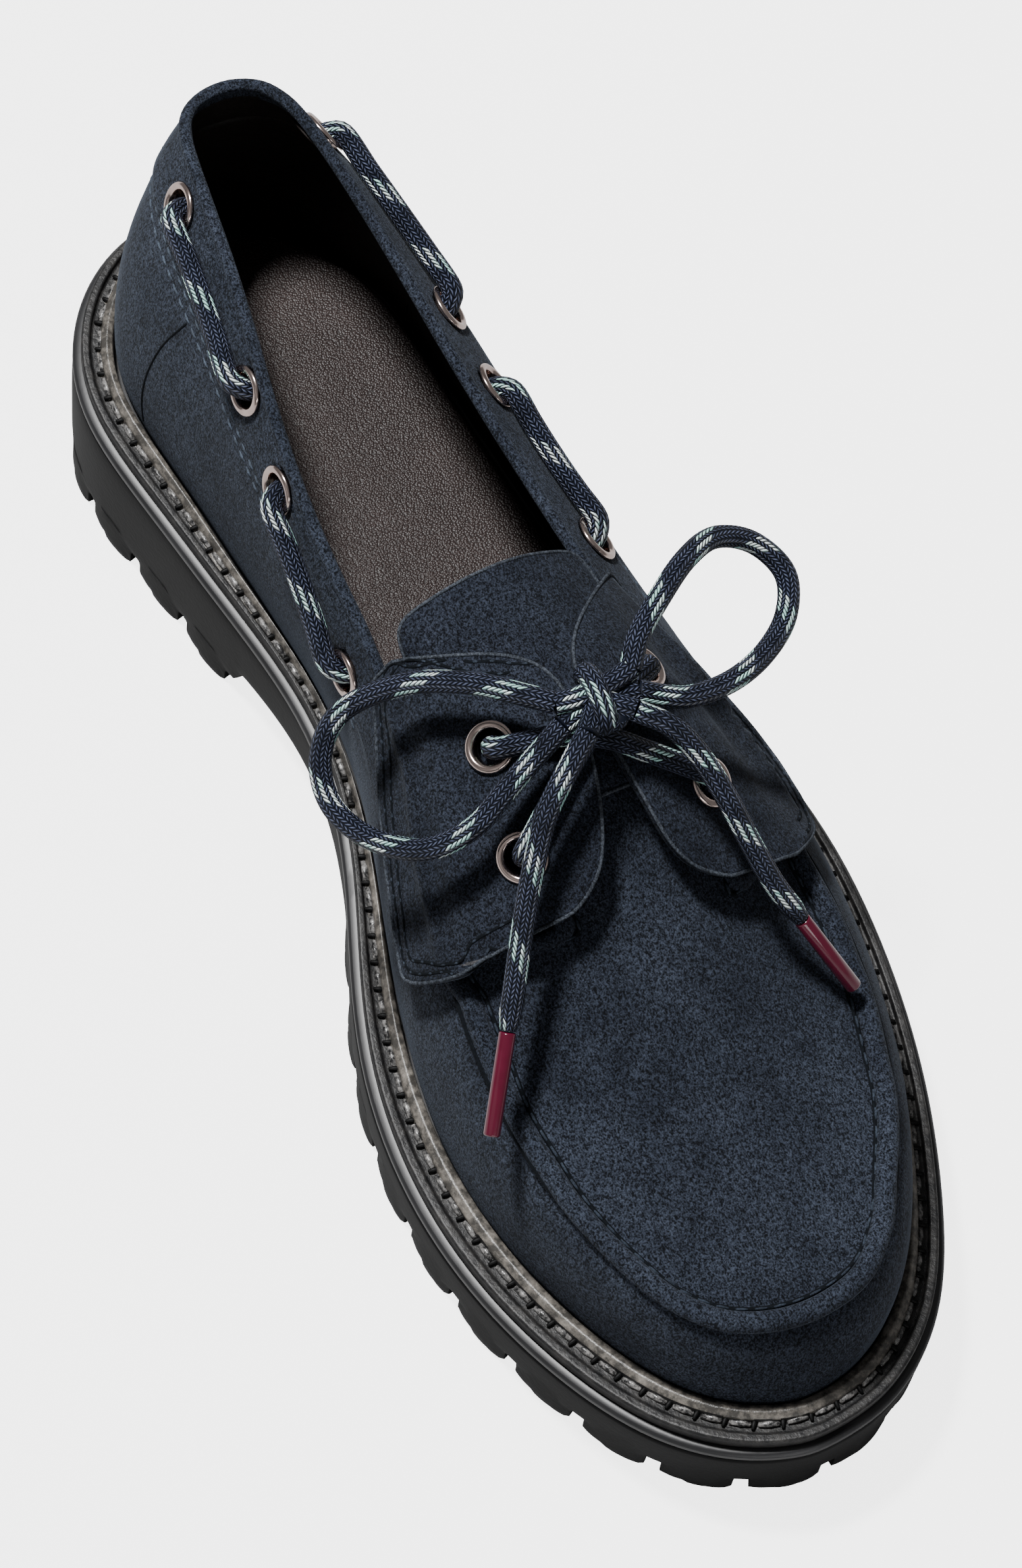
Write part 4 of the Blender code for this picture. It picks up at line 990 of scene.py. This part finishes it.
# %% The stitches in the groove
# Round the foot, rays from above measure across the welt, and the deepest dip is the groove
welt_face = surface(welt)
foot_line = [Vector((p.x, p.y, 0.0)) for p in smooth_line(foot_rim, 0.003, closed=True)]
groove = []
for before, here, after in with_neighbours(foot_line):
    away = (after - before).cross(UP).normalized()
    if away.dot(here) < -0.01:
        away = -away
    if welt_face.ray_cast(here + away * 0.004 + UP * 0.08, -UP)[0] is None:
        away = -away
    floor = [welt_face.ray_cast(here + away * reach + UP * 0.08, -UP)[0]
             for reach in np.arange(0.0, 0.0095, 0.0002)]
    depths = [((floor[k - 4].z + floor[k + 4].z) / 2 - floor[k].z, k) for k in range(4, len(floor) - 4)
              if floor[k] and floor[k - 4] and floor[k + 4]]
    depth, deepest = max(depths, default=(0.0, 0))
    if depth > 0.0004:
        groove.append(floor[deepest])
print("groove stops:", len(groove), "of", len(foot_line))
STITCH, GAP, SPACING = 4.3, 1.0, 0.5  # mm: a waxed stitch, the gap after it, and the line's own stops
path = smooth_line(groove[::4], SPACING * MM, closed=True)
# The heavy stitches carry painted glints in the pale clouds of their finish
sew("welt_stitches", [(place, UP) for place in path], STITCH, GAP, 1.5, thread_with_painted_glints, "welt_leather",
    sunk=-0.1, crown=0.15)
half_pitch = round((STITCH + GAP) / 2 / SPACING)
path = path[half_pitch:] + path[:half_pitch]
sew("welt_ticks", [(place + UP * 0.0003, UP) for place in path], 2.6, 2.7, 0.9, dark_thread, "welt_leather",
    sunk=-0.4, crown=0.2, lean=math.radians(80))

# %% [markdown]
# ## Sole
# The midsole is a thin band with a polished edge that catches a long gleam. The outsole is moulded black
# rubber with lugs all round. Both solids have the full form already: subdivision rounds their outlines, and
# their sharp edges stay nearly sharp.

# %% Midsole and outsole
for node, name, material, slot, angle, amount in (
        ("midsole", "polished_midsole", edge_black, "edge_finish", 35, 0.8),
        ("outsole", "lugged_outsole", rubber, "sole_rubber", 24, 0.9)):
    piece = clean_copy(node, name, material)
    subdivide(piece, sharper_than(angle, amount))
    bpy.ops.object.shade_smooth_by_angle(angle=math.radians(38))
    stands_for(piece, slot, node)

# %% [markdown]
# ## Eyelets
# An eyelet is a short metal barrel whose outer lip is rolled over in a round flange. One is made as a drawn
# profile spun round its axis, and every hole gets a copy of it, moved there and turned to its leather.

# %% The spun eyelet
# The barrel and its rolled lip: radius and height of each point of the drawn profile, in millimetres
PROFILE = ((3.3, -2.1), (3.28, 0.5), (3.42, 0.86), (3.8, 1.12), (4.25, 1.16), (4.66, 0.96), (4.9, 0.62),
           (4.84, 0.38), (4.2, 0.32), (3.85, 0.2), (3.85, -2.1))
spun = new_piece("spun_eyelet", [(r * MM, 0.0, h * MM) for r, h in PROFILE], [], metal,
                 edges=[(i, (i + 1) % len(PROFILE)) for i in range(len(PROFILE))])
edit(spun)
bpy.ops.mesh.select_all(action="SELECT")
bpy.ops.mesh.spin(steps=32, angle=2 * math.pi, center=(0.0, 0.0, 0.0), axis=(0.0, 0.0, 1.0))
bpy.ops.mesh.select_all(action="SELECT")
bpy.ops.mesh.remove_doubles(threshold=0.01 * MM)
bpy.ops.mesh.normals_make_consistent(inside=False)
leave()
bpy.ops.object.shade_smooth_by_angle(angle=math.radians(50))

for node, (centre, axis) in eyelets.items():
    copy = spun.copy()
    copy.data = spun.data.copy()
    copy.name = copy.data.name = node.replace("eyelet", "rolled_eyelet")
    bpy.context.scene.collection.objects.link(copy)
    copy.data.transform(Matrix.Translation(centre) @ axis.to_track_quat("Z", "Y").to_matrix().to_4x4())
    stands_for(copy, "eyelet_metal", node)
bpy.data.objects.remove(spun)

# %% [markdown]
# Round the cuff the lace runs between the suede and the lining, so inside the shoe each eyelet of the cuff is
# covered. A thin round of lining leather lies over the back of each one.

# %% Covers behind the cuff's eyelets
def cylinder(radius, height, place, axis, sides):
    """A cylinder with its place in its mesh."""
    bpy.ops.mesh.primitive_cylinder_add(vertices=sides, radius=radius, depth=height, location=place,
                                        rotation=axis.to_track_quat("Z", "Y").to_euler())
    bpy.ops.object.transform_apply(location=True, rotation=True, scale=True)
    return bpy.context.active_object


COVER_RADIUS, COVER_THICK = 0.0054, 0.0005
COVER_DEPTH = 0.00215  # how far behind an eyelet's middle its cover lies
cover = joined([cylinder(COVER_RADIUS, COVER_THICK, centre - axis * COVER_DEPTH, axis, 32)
                for node, (centre, axis) in eyelets.items() if node.startswith("collar")], "eyelet_covers")
bevel(cover, 0.15, 2, 60, 50)
cover.data.materials.append(lining)
stands_for(cover, "suede")

# %% [markdown]
# ## Laces along the cuff and across the tongue
# One lace runs round the cuff through its eyelets. Outside, it shows between the first and second and between
# the third and fourth eyelets of each side. In front it comes up through the flaps and crosses over the tongue
# under the bow. Every visible stretch goes down into its eyelets and stops there.

# %% Lace routes out of the eyelets
LACE = 0.0042
SPARE = 0.0003  # left between a pulled lace and the leather at the middle of its arch
LOW = 0.0031  # how high over the eyelets' middles an arch starts


def out_of(node, towards):
    """Stops that bring a lace up through an eyelet and over its flange."""
    centre, axis = eyelets[node]
    away = towards - centre
    away = (away - axis * away.dot(axis)).normalized()
    return [centre + axis * height + away * reach
            for height, reach in ((-0.0022, -0.0002), (-0.0004, 0.0001), (0.0014, 0.0010), (0.0029, 0.0032))]


def straight_run(start, end):
    """A lace pulled straight between two eyelets: one low even arch that clears the leather."""
    (a, axis_a), (b, axis_b) = eyelets[start], eyelets[end]
    out = (axis_a + axis_b).normalized()
    shares = (0.26, 0.38, 0.5, 0.62, 0.74)
    high = max((leather.find_nearest(a.lerp(b, share))[0] - a.lerp(b, share)).dot(out) for share in shares)
    top = high + LACE / 2 + SPARE
    arch = [a.lerp(b, share) + out * (LOW + (top - LOW) * 4 * share * (1 - share)) for share in shares]
    return smooth_line(out_of(start, b) + arch + out_of(end, a)[::-1], 0.0008)


for side in ("medial", "lateral"):
    for name, rear in (("rear", 1), ("front", 3)):
        line = straight_run(f"collar_eyelet_{side}_{rear}", f"collar_eyelet_{side}_{rear + 1}")
        run = tube(f"cuff_lace_{side}_{name}", line, LACE, lace)
        stands_for(run, "lace", f"side_lace_{side}_{name}")
        clear = min((leather.find_nearest(p)[0] - p).length for p in line[6:-6])
        print(f"{run.name}: {(clear - LACE / 2) / MM:.2f} mm clear of the leather")

# %% The crossing
# The stretch that starts on the medial side dips under the other one where they cross
crossing_face = surface(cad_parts["lace_crossing"])
crossing = []
for side, other, low in (("medial", "lateral", 0.0016), ("lateral", "medial", 0.0)):
    start, end = f"flap_eyelet_{side}_2", f"flap_eyelet_{other}_1"
    a, b = eyelets[start][0], eyelets[end][0]
    way = out_of(start, b)
    for share in (0.3, 0.5, 0.7):
        spot = a.lerp(b, share)
        top = crossing_face.ray_cast(Vector((spot.x, spot.y, 0.2)), -UP)[0]
        way.append(Vector((spot.x, spot.y, top.z - LACE / 2 - (low if share == 0.5 else 0.0))))
    way += out_of(end, a)[::-1]
    crossing.append(tube(f"crossing_{side}", smooth_line(way, 0.001), LACE, lace))
stands_for(joined(crossing, "crossed_laces"), "lace", "lace_crossing")

# %% [markdown]
# ## Bow
# A tied bow has a knot in the middle, a loop and an end on each side, and a burgundy tip on each end. The
# loops and ends are free cords: their routes are drawn, and their real lengths follow from the routes.

# %% Loops and ends
LOOPS = {
    "medial": [(160.0, -8.0, 107.4), (156.0, -12.5, 107.5), (149.0, -19.0, 105.0), (141.5, -28.0, 99.0),
               (138.0, -38.0, 91.0), (142.5, -44.5, 86.5), (151.0, -46.5, 84.0), (160.0, -43.5, 84.5),
               (168.0, -37.0, 88.5), (170.0, -28.5, 93.5), (167.5, -20.5, 98.0), (165.0, -13.0, 102.0),
               (163.5, -8.0, 105.0)],
    "lateral": [(160.0, 7.0, 108.4), (155.5, 11.0, 110.0), (150.5, 18.0, 111.0), (145.5, 26.0, 110.5),
                (142.5, 34.0, 107.5), (144.5, 41.5, 103.0), (151.0, 45.0, 99.5), (158.0, 41.5, 98.0),
                (163.5, 34.0, 99.0), (167.0, 25.0, 101.5), (167.5, 16.0, 103.5), (165.5, 11.0, 104.5),
                (163.5, 7.0, 106.0)],
}
ENDS = {
    "medial": [(167.7, -5.5, 107.2), (171.0, -10.5, 105.0), (176.0, -17.5, 99.5), (183.0, -23.5, 92.0),
               (190.0, -28.5, 85.0), (196.0, -32.5, 79.5), (201.0, -36.0, 75.5)],
    "lateral": [(167.6, 4.4, 107.6), (172.5, 9.0, 106.3), (178.0, 12.5, 101.5), (185.0, 14.5, 96.5),
                (192.0, 16.5, 89.5), (198.5, 19.0, 82.0), (204.0, 22.5, 75.0)],
}
TIP, TIP_LENGTH = 0.0031, 0.019  # thickness and length of a lace tip

for side in ("medial", "lateral"):
    line = smooth_line([at(*p) for p in LOOPS[side]], 0.001)
    loop = tube(f"bow_loop_lace_{side}", line, LACE, lace)
    stands_for(loop, "lace", f"bow_loop_{side}")
    length_of(line)
    print(f"loop {side}: {length_of(line) / MM:.1f} mm")

    line = smooth_line([at(*p) for p in ENDS[side]], 0.001)
    end = tube(f"bow_end_lace_{side}", line, LACE, lace, narrow_end=0.72)
    stands_for(end, "lace", f"bow_end_{side}")

    along = (at(*ENDS[side][-1]) - at(*ENDS[side][-2])).normalized()
    tip = cylinder(TIP / 2, TIP_LENGTH, line[-1] + along * (TIP_LENGTH / 2 + 0.0003), along, 24)
    tip.name = tip.data.name = f"lace_tip_{side}"
    bevel(tip, 0.4, 3, 60, 50)
    tip.data.materials.append(burgundy)
    stands_for(tip, "lace_tip", f"aglet_{side}")
    length_of(line)
    print(f"end {side}: {length_of(line) / MM:.1f} mm")

# %% [markdown]
# The knot is one tight turn of the lace round the strands that come together in it. The turn climbs a little
# sideways as it goes round, and its two ends tuck in under the strands.

# %% Knot
WIDE, TALL, CLIMB = 5.0, 3.6, 0.22  # mm: half the turn's width, half its height, and its climb at each step
middle = at(162.0, -0.5, 106.8)
turn = []
for k in range(15):
    angle = math.radians(-70 + k * 32)
    turn.append(middle + Vector((WIDE * math.cos(angle), (k - 7) * CLIMB, TALL * math.sin(angle))) * MM)
strands = [tube("knot_turn", smooth_line(turn, 0.0008), LACE, lace)]
for held in ([(160.0, -8.2, 107.4), (160.8, -4.0, 107.6), (160.8, 3.0, 108.2), (160.0, 7.2, 108.4)],
             [(163.5, -8.2, 105.0), (162.6, -4.0, 105.2), (162.6, 3.0, 105.6), (163.5, 7.2, 106.0)],
             [(160.5, -1.5, 105.0), (163.8, -2.2, 106.6), (167.7, -5.5, 107.2)],
             [(160.5, 1.0, 105.0), (163.8, 1.0, 107.0), (167.6, 4.4, 107.6)]):
    strands.append(tube("knot_strand", smooth_line([at(*p) for p in held], 0.001), LACE, lace))
stands_for(joined(strands, "tied_knot"), "lace", "bow_knot")
